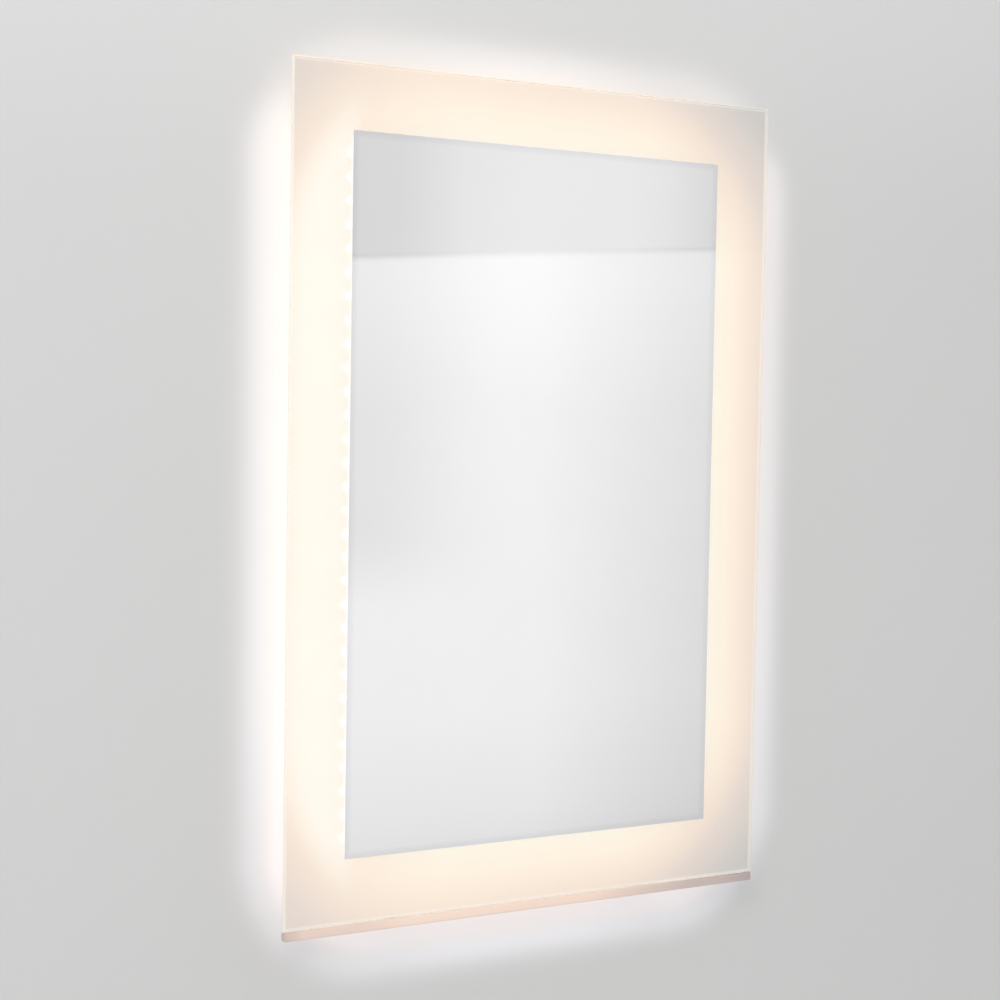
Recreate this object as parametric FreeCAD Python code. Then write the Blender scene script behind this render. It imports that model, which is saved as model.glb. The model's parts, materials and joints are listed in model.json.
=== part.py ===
"""Lighted bathroom mirror: a back-lit glass panel on an aluminium frame that hangs on a wall cleat.

Millimetres. The wall is the plane Y = 0, the room is towards -Y, +Z is up and X runs to the right.
The origin lies on the wall, in the middle of the wall cleat's line of screws.
"""
import FreeCAD, Part
import math
import os

Vector = FreeCAD.Vector

# ---- glass and what is on its back
glass_width = 609.6
glass_height = 914.4
glass_thickness = 5.0
edge_chamfer = 1.5
border_width = 70.7
silver_thickness = 0.1
film_thickness = 0.2
film_inset = 1.0
tape_thickness = 0.8
tape_width = 12.0

# ---- frame of four mitred channels
silver_overhang = 5.5
frame_depth = 29.0
channel_wall = 1.6
front_flange = 18.0
back_flange = 16.0
mitre_gap = 0.05
guide_rib_height = 0.8
guide_rib_thickness = 1.0
key_thickness = 2.5
key_rib_thickness = 1.2
key_rib_clearance = 0.6
key_leg = 36.0
key_clearance = 0.1

# ---- light strips on the outer faces of the frame
light_behind_glass = 15.0
strip_width = 10.0
strip_thickness = 0.3
strip_clearance = 0.3
strip_end_gap = 12.0
chip_pitch = 25.0
chip_length = 3.5
chip_width = 2.8
chip_height = 0.8
chip_end_margin = 6.0
jumper_thickness = 1.2
jumper_width = 5.6
jumper_clearance = 0.1
jumper_lap = 4.0

# ---- back panel
wall_gap = 8.0
panel_thickness = 1.0
panel_inset = 0.5
panel_corner_radius = 3.0
vent_length = 30.0
vent_width = 3.0
vent_pitch = 9.0
vent_count = 5

# ---- cleats
cleat_thickness = 2.0
cleat_play = 0.4
cleat_bend = 1.0
cleat_engagement = 12.0
cleat_plate_height = 26.0
hanger_plate_height = 16.0
hanger_below_frame_top = 3.0
hanger_from_frame_side = 38.6
stud_spacing = 406.4
wall_hole_radius = 2.75
wall_slot_length = 20.0
slot_from_cleat_end = 6.8
seat_gap = 0.3
cleat_screw_from_hanger_end = 30.0
hole_clearance = 0.1
cut_past = 1.0

# ---- hexagon-headed screws
screw_radius = 1.5
screw_head_radius = 3.2
screw_head_height = 1.8
screw_end = 1.5
key_bite_gap = 0.05

# ---- bottom rail and its brackets
rail_height = 9.5
rail_depth = 8.5
rail_end_inset = 1.0
rail_corner_radius = 2.5
rail_edge_chamfer = 0.8
rail_seat_gap = 0.3
bracket_thickness = 1.2
bracket_bend = 1.0
bracket_width = 14.0
bracket_from_frame_side = 68.6
bracket_overlap = 16.0
bracket_edge_margin = 1.0
rail_screw_length = 5.0
rail_screw_head_radius = 2.4

# ---- wall bumpers
bumper_size = 18.0
bumper_from_frame_side = 38.6
bumper_above_frame_bottom = 42.0

# ---- light driver
driver_length = 160.0
driver_width = 46.0
driver_height = 22.0
driver_corner_radius = 4.0
driver_cover_height = 3.0
driver_ear_length = 11.0
driver_ear_thickness = 3.0
driver_from_frame_side = 78.6
driver_above_centre = 60.0
driver_gland_reach = 3.4
driver_gland_length = 5.0
driver_foot_gap = 0.1
driver_rib_count = 7
driver_rib_width = 1.6
driver_rib_height = 0.8

# ---- wiring compartment
cover_length = 78.0
cover_width = 70.0
cover_height = 26.0
cover_wall = 0.8
cover_flange = 9.0
cover_to_driver = 56.0
cover_panel_gap = 0.1
block_length = 16.0
block_width = 30.0
block_height = 17.0
block_poles = 3
block_from_cover_wall = 14.0
block_entry_size = 3.6
block_entry_depth = 4.0
block_pocket_depth = 3.0
gland_bore = 5.5
gland_neck_radius = 8.0
gland_hexagon = 11.0
gland_head_height = 4.0
gland_nut_height = 3.0
gland_neck_beyond_nut = 1.0
gland_from_cover_centre = 20.0
earth_screw_radius = 2.0
earth_screw_from_gland = 17.0
strap_thickness = 0.8
strap_width = 6.0
strap_bend = 0.8
strap_foot = 9.0

# ---- leads inside
flat_lead_thickness = 2.0
flat_lead_width = 4.4
output_lead_bend = 18.0
output_exit_bend = 2.4
output_lead_drop_x = 30.0
output_exit_above_frame_bottom = 10.0
input_lead_radius = 1.0
lead_hole_clearance = 0.5
lead_end_gap = 1.0
clip_length = 8.0
clip_width = 7.0
clip_top = 1.6
clip_count = 3

# ---- worked out from the sizes above
silver_width = glass_width - 2 * border_width
silver_height = glass_height - 2 * border_width
frame_width = silver_width - 2 * silver_overhang
frame_height = silver_height - 2 * silver_overhang
half_width = frame_width / 2
half_height = frame_height / 2

panel_back_y = -wall_gap
frame_back_y = panel_back_y - panel_thickness
frame_front_y = frame_back_y - frame_depth
film_back_y = frame_front_y - tape_thickness
silver_back_y = film_back_y - film_thickness
glass_back_y = silver_back_y - silver_thickness
glass_front_y = glass_back_y - glass_thickness
light_y = glass_back_y + light_behind_glass

# the cleat's channel, from the screw line upwards
wall_hook_offset = cleat_thickness + 2 * cleat_play
hook_slope_z = cleat_plate_height / 2
wall_hook_base_z = hook_slope_z + wall_hook_offset
hanger_tip_z = hook_slope_z + cleat_play + cleat_thickness + seat_gap
wall_hook_top_z = hanger_tip_z + cleat_engagement
hanger_slope_z = wall_hook_top_z + cleat_play + seat_gap
hanger_offset = wall_gap - cleat_play - cleat_thickness
hanger_plate_z = hanger_slope_z + hanger_offset
frame_top_z = hanger_plate_z + hanger_plate_height + hanger_below_frame_top

centre_z = frame_top_z - half_height
frame_bottom_z = centre_z - half_height
glass_top_z = centre_z + glass_height / 2
glass_bottom_z = centre_z - glass_height / 2
rail_top_z = glass_bottom_z - rail_seat_gap
rail_bottom_z = rail_top_z - rail_height
rail_back_y = glass_front_y + rail_depth

frame_centre = Vector(0, 0, centre_z)
# each side's distance from the centre and its length, in the order of quarter turns from the left
sides = {
    "left": (half_width, frame_height),
    "top": (half_height, frame_width),
    "right": (half_width, frame_height),
    "bottom": (half_height, frame_width),
}


def box(x0, x1, y0, y1, z0, z1):
    """A box between two corners, given in any order."""
    low = Vector(min(x0, x1), min(y0, y1), min(z0, z1))
    return Part.makeBox(abs(x1 - x0), abs(y1 - y0), abs(z1 - z0), low)


def polygon_face(points):
    """A flat face inside a closed outline of straight edges."""
    return Part.Face(Part.makePolygon(points + [points[0]]))


def plate(outline, y_back, y_front):
    """A flat plate whose outline is given as X and Z, from one depth to another."""
    face = polygon_face([Vector(x, y_back, z) for x, z in outline])
    return face.extrude(Vector(0, y_front - y_back, 0))


def round_bar(radius, start, end):
    """A straight round bar from one point to another."""
    along = end - start
    return Part.makeCylinder(radius, along.Length, start, along)


def around(shape, side):
    """A shape made for the left side, turned about the frame's centre to another side."""
    copy = shape.copy()
    copy.rotate(frame_centre, Vector(0, 1, 0), 90 * list(sides).index(side))
    return copy


def drilled(shape, holes):
    """The shape with all its holes cut in one step."""
    return shape.cut(Part.makeCompound(holes)) if holes else shape


def arc_points(corner, before, after, radius):
    """Start, middle and end of the arc that rounds a corner of a path."""
    back = (before - corner).normalize()
    ahead = (after - corner).normalize()
    half_angle = back.getAngle(ahead) / 2
    reach = radius / math.tan(half_angle)
    start = corner + back * reach
    end = corner + ahead * reach
    bisector = (back + ahead).normalize()
    centre = corner + bisector * (radius / math.sin(half_angle))
    middle = centre - bisector * radius
    return start, middle, end


def path_wire(points, radii):
    """Straight runs joined by tangent arcs, one radius for each inner point."""
    edges = []
    here = points[0]
    for index, radius in enumerate(radii, start=1):
        start, middle, end = arc_points(points[index], points[index - 1], points[index + 1], radius)
        if (start - here).Length > 1e-6:
            edges.append(Part.LineSegment(here, start).toShape())
        edges.append(Part.Arc(start, middle, end).toShape())
        here = end
    edges.append(Part.LineSegment(here, points[-1]).toShape())
    return Part.Wire(edges)


def flat_lead(points, radii, thickness, width):
    """A flat twin lead along a path in one plane of constant Y, its width lying along Y."""
    path = path_wire(points, radii)
    along = (points[1] - points[0]).normalize()
    across = Vector(0, 1, 0)
    normal = along.cross(across) * (thickness / 2)
    side = across * (width / 2)
    corners = [points[0] + normal + side, points[0] + normal - side,
               points[0] - normal - side, points[0] - normal + side]
    section = Part.makePolygon(corners + [corners[0]])
    return path.makePipeShell([section], True, False)


def bent_sheet(path, thickness, inner_radius, x_start, x_end):
    """Sheet metal bent along a path of Y and Z, which is its left surface, extruded along X."""
    count = len(path)
    directions = []
    for (y0, z0), (y1, z1) in zip(path, path[1:]):
        length = math.hypot(y1 - y0, z1 - z0)
        directions.append(((y1 - y0) / length, (z1 - z0) / length))
    left = [Vector(x_start, y, z) for y, z in path]
    right = []
    left_radii = []
    right_radii = []
    for index, (y, z) in enumerate(path):
        dy, dz = directions[max(index - 1, 0)]
        ey, ez = directions[min(index, count - 2)]
        # the right-hand normals of the two runs, added to reach the corner of the other surface
        ny, nz = dz + ez, -(dy + ey)
        scale = thickness / ((ny * dz - nz * dy))
        right.append(Vector(x_start, y + ny * scale, z + nz * scale))
        if 0 < index < count - 1:
            turns_left = dy * ez - dz * ey > 0
            left_radii.append(inner_radius if turns_left else inner_radius + thickness)
            right_radii.append(inner_radius + thickness if turns_left else inner_radius)
    edges = path_wire(left, left_radii).Edges
    edges.append(Part.LineSegment(left[-1], right[-1]).toShape())
    edges += path_wire(right[::-1], right_radii[::-1]).Edges
    edges.append(Part.LineSegment(right[0], left[0]).toShape())
    face = Part.Face(Part.Wire(Part.__sortEdges__(edges)))
    return face.extrude(Vector(x_end - x_start, 0, 0))


def slot_cutter(x_centre, z_centre, length, radius, y_back, y_front):
    """A cutter for a slot that runs along X."""
    reach = length / 2 - radius
    middle = box(x_centre - reach, x_centre + reach, y_back, y_front, z_centre - radius, z_centre + radius)
    ends = [
        round_bar(radius, Vector(x_centre + side * reach, y_back, z_centre),
                  Vector(x_centre + side * reach, y_front, z_centre))
        for side in (-1, 1)
    ]
    return middle.fuse(ends).removeSplitter()


# ---- places that several pieces share
key_slot = key_thickness + 2 * key_clearance
key_y = frame_back_y - channel_wall - key_clearance
key_width = back_flange - channel_wall - key_clearance
screw_line = channel_wall + key_width / 2
screw_from_corner = key_leg - screw_line
key_rib_length = screw_line - screw_radius - key_rib_clearance

panel_screw_places = [
    (sx * (half_width - screw_line), centre_z + sz * (half_height - screw_from_corner))
    for sx in (-1, 1)
    for sz in (-1, 1)
]
hanger_length = frame_width - 2 * hanger_from_frame_side
wall_cleat_length = stud_spacing + wall_slot_length + 2 * slot_from_cleat_end
inner_hole_spacing = stud_spacing / 2
cleat_screw_z = hanger_plate_z + hanger_plate_height / 2
cleat_screw_places = [
    (side * (hanger_length / 2 - cleat_screw_from_hanger_end), cleat_screw_z) for side in (-1, 0, 1)
]
bracket_places = [side * (half_width - bracket_from_frame_side) for side in (-1, 1)]
bracket_screw_z = frame_bottom_z + bracket_overlap / 2
bracket_screw_places = [(x, bracket_screw_z) for x in bracket_places]
frame_screw_places = panel_screw_places + cleat_screw_places + bracket_screw_places

driver_z = centre_z + driver_above_centre
driver_right_x = half_width - driver_from_frame_side
driver_left_x = driver_right_x - driver_length
driver_centre_x = (driver_left_x + driver_right_x) / 2
cover_right_x = driver_left_x - cover_to_driver
cover_left_x = cover_right_x - cover_length
cover_centre_x = (cover_left_x + cover_right_x) / 2
driver_screw_places = [
    (driver_left_x - driver_ear_length / 2, driver_z - driver_width / 4),
    (driver_right_x + driver_ear_length / 2, driver_z + driver_width / 4),
]
cover_screw_places = [
    (cover_centre_x, driver_z + side * (cover_width / 2 + cover_flange / 2)) for side in (-1, 1)
]
gland_x = cover_centre_x - gland_from_cover_centre
pole_pitch = block_width / block_poles
earth_screw_place = (gland_x + earth_screw_from_gland, driver_z + pole_pitch)
input_lead_y = frame_back_y - block_height / 2
exit_z = frame_bottom_z + output_exit_above_frame_bottom


def make_glass():
    """The glass panel, with its ground edge."""
    solid = box(-glass_width / 2, glass_width / 2, glass_front_y, glass_back_y, glass_bottom_z, glass_top_z)
    faces_y = (glass_front_y, glass_back_y)
    rims = [
        edge for edge in solid.Edges
        if any(abs(edge.BoundBox.YMin - y) < 1e-6 and abs(edge.BoundBox.YMax - y) < 1e-6 for y in faces_y)
    ]
    return solid.makeChamfer(edge_chamfer, rims)


def make_layer(inset, y_front, y_back):
    """A thin layer over the silvered middle of the glass."""
    x = silver_width / 2 - inset
    z = silver_height / 2 - inset
    return box(-x, x, y_front, y_back, centre_z - z, centre_z + z)


def mitre_prism(distance, length):
    """The space that one side of the frame may fill, up to the mitred corners."""
    outer = guide_rib_height + cut_past
    inner = max(front_flange, back_flange) + cut_past
    half = length / 2 - mitre_gap
    outline = [
        (-distance - outer, centre_z - half - outer),
        (-distance + inner, centre_z - half + inner),
        (-distance + inner, centre_z + half - inner),
        (-distance - outer, centre_z + half + outer),
    ]
    return plate(outline, frame_back_y + cut_past, frame_front_y - cut_past)


def channel_section(distance):
    """The channel's cross-section on the left side, as one closed outline of X and Y."""
    back = frame_back_y
    front = frame_front_y
    face = -distance
    rib = key_slot + channel_wall
    low_rib = light_y + strip_width / 2 + strip_clearance
    high_rib = light_y - strip_width / 2 - strip_clearance
    points = [
        (face, back),
        (face + back_flange, back),
        (face + back_flange, back - channel_wall),
        (face + channel_wall, back - channel_wall),
        (face + channel_wall, back - rib),
        (face + key_rib_length, back - rib),
        (face + key_rib_length, back - rib - key_rib_thickness),
        (face + channel_wall, back - rib - key_rib_thickness),
        (face + channel_wall, front + channel_wall),
        (face + front_flange, front + channel_wall),
        (face + front_flange, front),
        (face, front),
        (face, high_rib - guide_rib_thickness),
        (face - guide_rib_height, high_rib - guide_rib_thickness),
        (face - guide_rib_height, high_rib),
        (face, high_rib),
        (face, low_rib),
        (face - guide_rib_height, low_rib),
        (face - guide_rib_height, low_rib + guide_rib_thickness),
        (face, low_rib + guide_rib_thickness),
    ]
    start_z = centre_z - max(frame_width, frame_height)
    return polygon_face([Vector(x, y, start_z) for x, y in points])


def screw_holes(places, radius, y_back, y_front):
    """Straight cutters along Y at places given as X and Z."""
    return [round_bar(radius, Vector(x, y_back, z), Vector(x, y_front, z)) for x, z in places]


def flange_holes():
    """The holes through the frame's back flanges."""
    y_back = frame_back_y + cut_past
    y_front = frame_back_y - channel_wall - key_clearance / 2
    return screw_holes(frame_screw_places, screw_radius + hole_clearance, y_back, y_front)


def make_channel(side):
    """One side of the frame: an extruded channel, mitred and drilled."""
    distance, length = sides[side]
    bar = channel_section(distance).extrude(Vector(0, 0, 2 * max(frame_width, frame_height)))
    bar = around(bar.common(mitre_prism(distance, length)), side)
    if side == "right":
        reach = flat_lead_width / 2 + lead_hole_clearance
        rise = flat_lead_thickness / 2 + lead_hole_clearance
        lead_way = box(half_width - channel_wall - cut_past, half_width + cut_past,
                       light_y - reach, light_y + reach, exit_z - rise, exit_z + rise)
        bar = bar.cut(lead_way)
    return drilled(bar, flange_holes())


def make_key(sx, sz):
    """An L-shaped corner key that lies in the slots of two channels and locks the mitre."""
    near = channel_wall + key_clearance
    far = near + key_width - key_clearance
    end = near + key_leg
    outline = [(near, near), (end, near), (end, far), (far, far), (far, end), (near, end)]
    corner_x = sx * half_width
    corner_z = centre_z + sz * half_height
    points = [(corner_x - sx * a, corner_z - sz * b) for a, b in outline]
    return plate(points, key_y, key_y - key_thickness)


def make_tape(side):
    """Foam tape between the frame's front flange and the film on the glass."""
    distance, length = sides[side]
    margin = (front_flange - tape_width) / 2
    low = -distance + margin
    # the upright strips run the full height and the level strips fit between them
    half = length / 2 - margin
    if side in ("top", "bottom"):
        half = length / 2 - margin - tape_width - tape_thickness
    solid = box(low, low + tape_width, film_back_y, frame_front_y, centre_z - half, centre_z + half)
    return around(solid, side)


def make_strip(side):
    """A light strip's flexible circuit, stuck between the ribs on the channel's outer face."""
    distance, length = sides[side]
    half = length / 2 - strip_end_gap
    y_half = strip_width / 2
    solid = box(-distance - strip_thickness, -distance, light_y - y_half, light_y + y_half,
                centre_z - half, centre_z + half)
    return around(solid, side)


def make_chips(side):
    """The row of light chips on one strip, evenly spaced about its middle."""
    distance, length = sides[side]
    room = length - 2 * (strip_end_gap + chip_end_margin)
    count = int(room // chip_pitch) + 1
    face = -distance - strip_thickness
    chips = []
    for index in range(count):
        z = centre_z + (index - (count - 1) / 2) * chip_pitch
        chips.append(box(face - chip_height, face, light_y - chip_width / 2, light_y + chip_width / 2,
                         z - chip_length / 2, z + chip_length / 2))
    return around(Part.makeCompound(chips), side)


def make_jumpers():
    """Flat leads round three corners of the frame, from one strip's end to the next."""
    half = jumper_thickness / 2
    offset = strip_thickness + half + jumper_clearance / 2
    # the largest bend that still clears the frame's sharp corner
    bend = (offset * math.sqrt(2) - half - jumper_clearance) / (math.sqrt(2) - 1)
    reach = strip_end_gap + jumper_lap
    leads = []
    for sx, sz in ((-1, -1), (-1, 1), (1, 1)):
        corner_x = sx * (half_width + offset)
        corner_z = centre_z + sz * (half_height + offset)
        points = [
            Vector(corner_x, light_y, centre_z + sz * (half_height - reach)),
            Vector(corner_x, light_y, corner_z),
            Vector(sx * (half_width - reach), light_y, corner_z),
        ]
        leads.append(flat_lead(points, [bend], jumper_thickness, jumper_width))
    print("corner jumper bend", round(bend, 2), "for a lead of thickness", jumper_thickness)
    return Part.makeCompound(leads)


def vent_cutters(y_back, y_front):
    """Two rows of vent slots in the back panel, above and below the driver."""
    cutters = []
    for side in (-1, 1):
        for index in range(vent_count):
            z = driver_z + side * (driver_width / 2 + (index + 2) * vent_pitch)
            cutters.append(box(driver_centre_x - vent_length / 2, driver_centre_x + vent_length / 2,
                               y_back, y_front, z - vent_width / 2, z + vent_width / 2))
    return cutters


def make_back_panel():
    """The sheet-metal back panel with rounded corners, vents, screw holes and cable entry."""
    x = half_width - panel_inset
    z = half_height - panel_inset
    panel = box(-x, x, panel_back_y, frame_back_y, centre_z - z, centre_z + z)
    corners = [edge for edge in panel.Edges if abs(edge.BoundBox.YLength - panel_thickness) < 1e-6
               and edge.BoundBox.XLength < 1e-6 and edge.BoundBox.ZLength < 1e-6]
    panel = panel.makeFillet(panel_corner_radius, corners)
    y_back = panel_back_y + cut_past
    y_front = frame_back_y - cut_past
    screws = frame_screw_places + driver_screw_places + cover_screw_places
    holes = screw_holes(screws, screw_radius + hole_clearance, y_back, y_front)
    holes += screw_holes([(gland_x, driver_z)], gland_neck_radius + hole_clearance, y_back, y_front)
    holes += screw_holes([earth_screw_place], earth_screw_radius + hole_clearance, y_back, y_front)
    holes += vent_cutters(y_back, y_front)
    return drilled(panel, holes)


def hexagon(x, z, radius, y_back, y_front):
    """A hexagonal plate whose flats are one radius from its middle."""
    corner = radius / math.cos(math.pi / 6)
    turns = [math.pi / 3 * index for index in range(6)]
    outline = [(x + corner * math.sin(turn), z + corner * math.cos(turn)) for turn in turns]
    return plate(outline, y_back, y_front)


def screw(x, z, y_seat, length, radius=screw_radius, head_radius=screw_head_radius, outward=1):
    """A hexagon-headed screw whose head stands on the seat, outward to the wall or away from it."""
    head = hexagon(x, z, head_radius, y_seat, y_seat + outward * screw_head_height)
    shank = round_bar(radius, Vector(x, y_seat, z), Vector(x, y_seat - outward * length, z))
    return head.fuse(shank).removeSplitter()


def frame_screws(places, seat):
    """Screws through what lies on the seat, the panel and the frame's flange, up to the keys."""
    length = seat - (frame_back_y - channel_wall - key_clearance) - key_bite_gap
    return Part.makeCompound([screw(x, z, seat, length) for x, z in places])


def make_hanging_cleat():
    """The mirror's cleat: a plate on the back panel that slopes to the wall and hooks downwards."""
    front = -cleat_play - cleat_thickness
    path = [
        (front, hanger_tip_z),
        (front, hanger_slope_z),
        (-wall_gap, hanger_plate_z),
        (-wall_gap, hanger_plate_z + hanger_plate_height),
    ]
    sheet = bent_sheet(path, cleat_thickness, cleat_bend, -hanger_length / 2, hanger_length / 2)
    holes = screw_holes(cleat_screw_places, screw_radius + hole_clearance, cut_past, -wall_gap - cut_past)
    return drilled(sheet, holes)


def make_wall_cleat():
    """The cleat that is screwed to the wall: a slotted plate whose top stands off as a hook."""
    path = [
        (-cleat_thickness, -cleat_plate_height / 2),
        (-cleat_thickness, hook_slope_z - cleat_thickness * (math.sqrt(2) - 1)),
        (-wall_hook_offset - cleat_thickness, wall_hook_base_z - cleat_thickness * (math.sqrt(2) - 1)),
        (-wall_hook_offset - cleat_thickness, wall_hook_top_z),
    ]
    sheet = bent_sheet(path, cleat_thickness, cleat_bend, -wall_cleat_length / 2, wall_cleat_length / 2)
    # past the plate, and short of the hook in front of it
    y_front = -cleat_thickness - wall_hook_offset / 2
    cutters = [
        slot_cutter(side * stud_spacing / 2, 0, wall_slot_length, wall_hole_radius, cut_past, y_front)
        for side in (-1, 1)
    ]
    inner = [(side * inner_hole_spacing / 2, 0) for side in (-1, 1)]
    cutters += screw_holes(inner, wall_hole_radius, cut_past, y_front)
    return drilled(sheet, cutters)


def make_bottom_rail():
    """The translucent rail below the glass, flush with the glass's face."""
    x = glass_width / 2 - rail_end_inset
    rail = box(-x, x, glass_front_y, rail_back_y, rail_bottom_z, rail_top_z)
    ends = [edge for edge in rail.Edges
            if abs(edge.BoundBox.YLength - rail_depth) < 1e-6
            and edge.BoundBox.ZMax < rail_bottom_z + 1e-6]
    rail = rail.makeFillet(rail_corner_radius, ends)
    front = [edge for edge in rail.Edges
             if edge.BoundBox.YMax < glass_front_y + 1e-6 and edge.BoundBox.ZMax < rail_top_z - 1e-3]
    rail = rail.makeChamfer(rail_edge_chamfer, front)
    depth = rail_screw_length - bracket_thickness + hole_clearance
    holes = [
        round_bar(screw_radius + hole_clearance, Vector(x_place, rail_back_y + cut_past, rail_screw_z()),
                  Vector(x_place, rail_back_y - depth, rail_screw_z()))
        for x_place in bracket_places
    ]
    return drilled(rail, holes)


def bracket_leg_z():
    """The upper face of the bracket's level leg."""
    return rail_top_z - bracket_edge_margin


def rail_screw_z():
    """The height of the screws that hold the rail to its brackets."""
    low = rail_bottom_z + bracket_edge_margin
    high = bracket_leg_z() - bracket_thickness - bracket_bend
    return (low + high) / 2


def make_bracket(x):
    """A bent strap from the back panel down and forward to the back of the bottom rail."""
    foot_y = rail_back_y
    leg_top = bracket_leg_z()
    plate_front = -wall_gap
    path = [
        (foot_y, rail_bottom_z + bracket_edge_margin),
        (foot_y, leg_top),
        (plate_front, leg_top),
        (plate_front, frame_bottom_z + bracket_overlap),
    ]
    sheet = bent_sheet(path, bracket_thickness, bracket_bend, x - bracket_width / 2, x + bracket_width / 2)
    plate_screw = [(x, bracket_screw_z)]
    holes = screw_holes(plate_screw, screw_radius + hole_clearance, cut_past, -wall_gap - cut_past)
    foot_screw = [(x, rail_screw_z())]
    past_foot_y = rail_back_y + bracket_thickness + cut_past
    holes += screw_holes(foot_screw, screw_radius + hole_clearance, past_foot_y, rail_back_y - cut_past)
    return drilled(sheet, holes)


def make_rail_screws():
    """The screws through the brackets' feet into the bottom rail."""
    seat = rail_back_y + bracket_thickness
    screws = [screw(x, rail_screw_z(), seat, rail_screw_length, head_radius=rail_screw_head_radius)
              for x in bracket_places]
    return Part.makeCompound(screws)


def make_bumper(sx):
    """A square rubber bumper, stuck on, that keeps the lower part of the back off the wall."""
    x = sx * (half_width - bumper_from_frame_side)
    z = frame_bottom_z + bumper_above_frame_bottom
    half = bumper_size / 2
    return box(x - half, x + half, panel_back_y, 0, z - half, z + half)


def rounded_block(x0, x1, y_back, y_front, z0, z1, radius):
    """A block whose upright edges along Y are rounded."""
    block = box(x0, x1, y_back, y_front, z0, z1)
    corners = [edge for edge in block.Edges
               if edge.BoundBox.XLength < 1e-6 and edge.BoundBox.ZLength < 1e-6]
    return block.makeFillet(radius, corners)


def make_driver_case():
    """The driver's case with its mounting ears and cable glands."""
    foot = frame_back_y - driver_foot_gap
    top = foot - driver_height + driver_cover_height
    z0 = driver_z - driver_width / 2
    z1 = driver_z + driver_width / 2
    case = rounded_block(driver_left_x, driver_right_x, foot, top, z0, z1, driver_corner_radius)
    parts = []
    for x, z in driver_screw_places:
        ear = box(x - driver_ear_length / 2, x + driver_ear_length / 2, foot, foot - driver_ear_thickness,
                  z - driver_width / 6, z + driver_width / 6)
        inward = 1 if x < driver_centre_x else -1
        root = box(x, x + inward * (driver_ear_length / 2 + driver_corner_radius), foot,
                   foot - driver_ear_thickness, z - driver_width / 6, z + driver_width / 6)
        parts += [ear, root]
    out_x = driver_right_x + driver_gland_length
    reach = driver_gland_reach
    parts.append(box(driver_right_x, out_x, light_y - reach, light_y + reach,
                     driver_z - reach, driver_z + reach))
    in_x = driver_left_x - driver_gland_length
    in_reach = pole_pitch + reach
    parts.append(box(driver_left_x, in_x, input_lead_y - reach, input_lead_y + reach,
                     driver_z - in_reach, driver_z + in_reach))
    case = case.fuse(parts).removeSplitter()
    past_ear_y = foot - driver_ear_thickness - cut_past
    holes = screw_holes(driver_screw_places, screw_radius + hole_clearance, foot + cut_past, past_ear_y)
    width = flat_lead_width / 2 + hole_clearance
    thick = flat_lead_thickness / 2 + hole_clearance
    holes.append(box(driver_right_x + lead_end_gap, out_x + cut_past, light_y - width, light_y + width,
                     driver_z - thick, driver_z + thick))
    for side in (-1, 1):
        z = driver_z + side * pole_pitch
        half = input_lead_radius + hole_clearance
        holes.append(box(driver_left_x - lead_end_gap, in_x - cut_past,
                         input_lead_y - half, input_lead_y + half, z - half, z + half))
    return drilled(case, holes)


def make_driver_cover():
    """The driver's ribbed cover, seated on its case."""
    seat = frame_back_y - driver_foot_gap - driver_height + driver_cover_height
    front = seat - driver_cover_height + driver_rib_height
    z0 = driver_z - driver_width / 2
    z1 = driver_z + driver_width / 2
    cover = rounded_block(driver_left_x, driver_right_x, seat, front, z0, z1, driver_corner_radius)
    ribs = []
    pitch = (driver_length - 4 * driver_corner_radius) / (driver_rib_count - 1)
    for index in range(driver_rib_count):
        x = driver_left_x + 2 * driver_corner_radius + index * pitch
        ribs.append(box(x - driver_rib_width / 2, x + driver_rib_width / 2,
                        front + 0.5, front - driver_rib_height,
                        z0 + driver_corner_radius, z1 - driver_corner_radius))
    return cover.fuse(ribs).removeSplitter()


def make_driver_screws():
    """The screws that hold the driver, put in from behind the panel."""
    foot = driver_foot_gap + driver_ear_thickness
    length = panel_thickness + foot + screw_end
    return Part.makeCompound([screw(x, z, panel_back_y, length) for x, z in driver_screw_places])


block_right_x = cover_right_x - block_from_cover_wall
block_left_x = block_right_x - block_length
cover_front_y = frame_back_y - cover_panel_gap - cover_height


def make_terminal_block():
    """The terminal block: one moulding with an entry and a screw pocket for each pole on both sides."""
    foot = frame_back_y - driver_foot_gap
    top = foot - block_height
    block = box(block_left_x, block_right_x, foot, top,
                driver_z - block_width / 2, driver_z + block_width / 2)
    holes = []
    half = block_entry_size / 2
    for index in range(block_poles):
        z = driver_z + (index - (block_poles - 1) / 2) * pole_pitch
        for x, inward in ((block_left_x, 1), (block_right_x, -1)):
            deep = x + inward * block_entry_depth
            holes.append(box(x - inward * cut_past, deep, input_lead_y - half, input_lead_y + half,
                             z - half, z + half))
            holes.append(box(deep - half, deep + half, top - cut_past, top + block_pocket_depth,
                             z - half, z + half))
    return drilled(block, holes)


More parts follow.
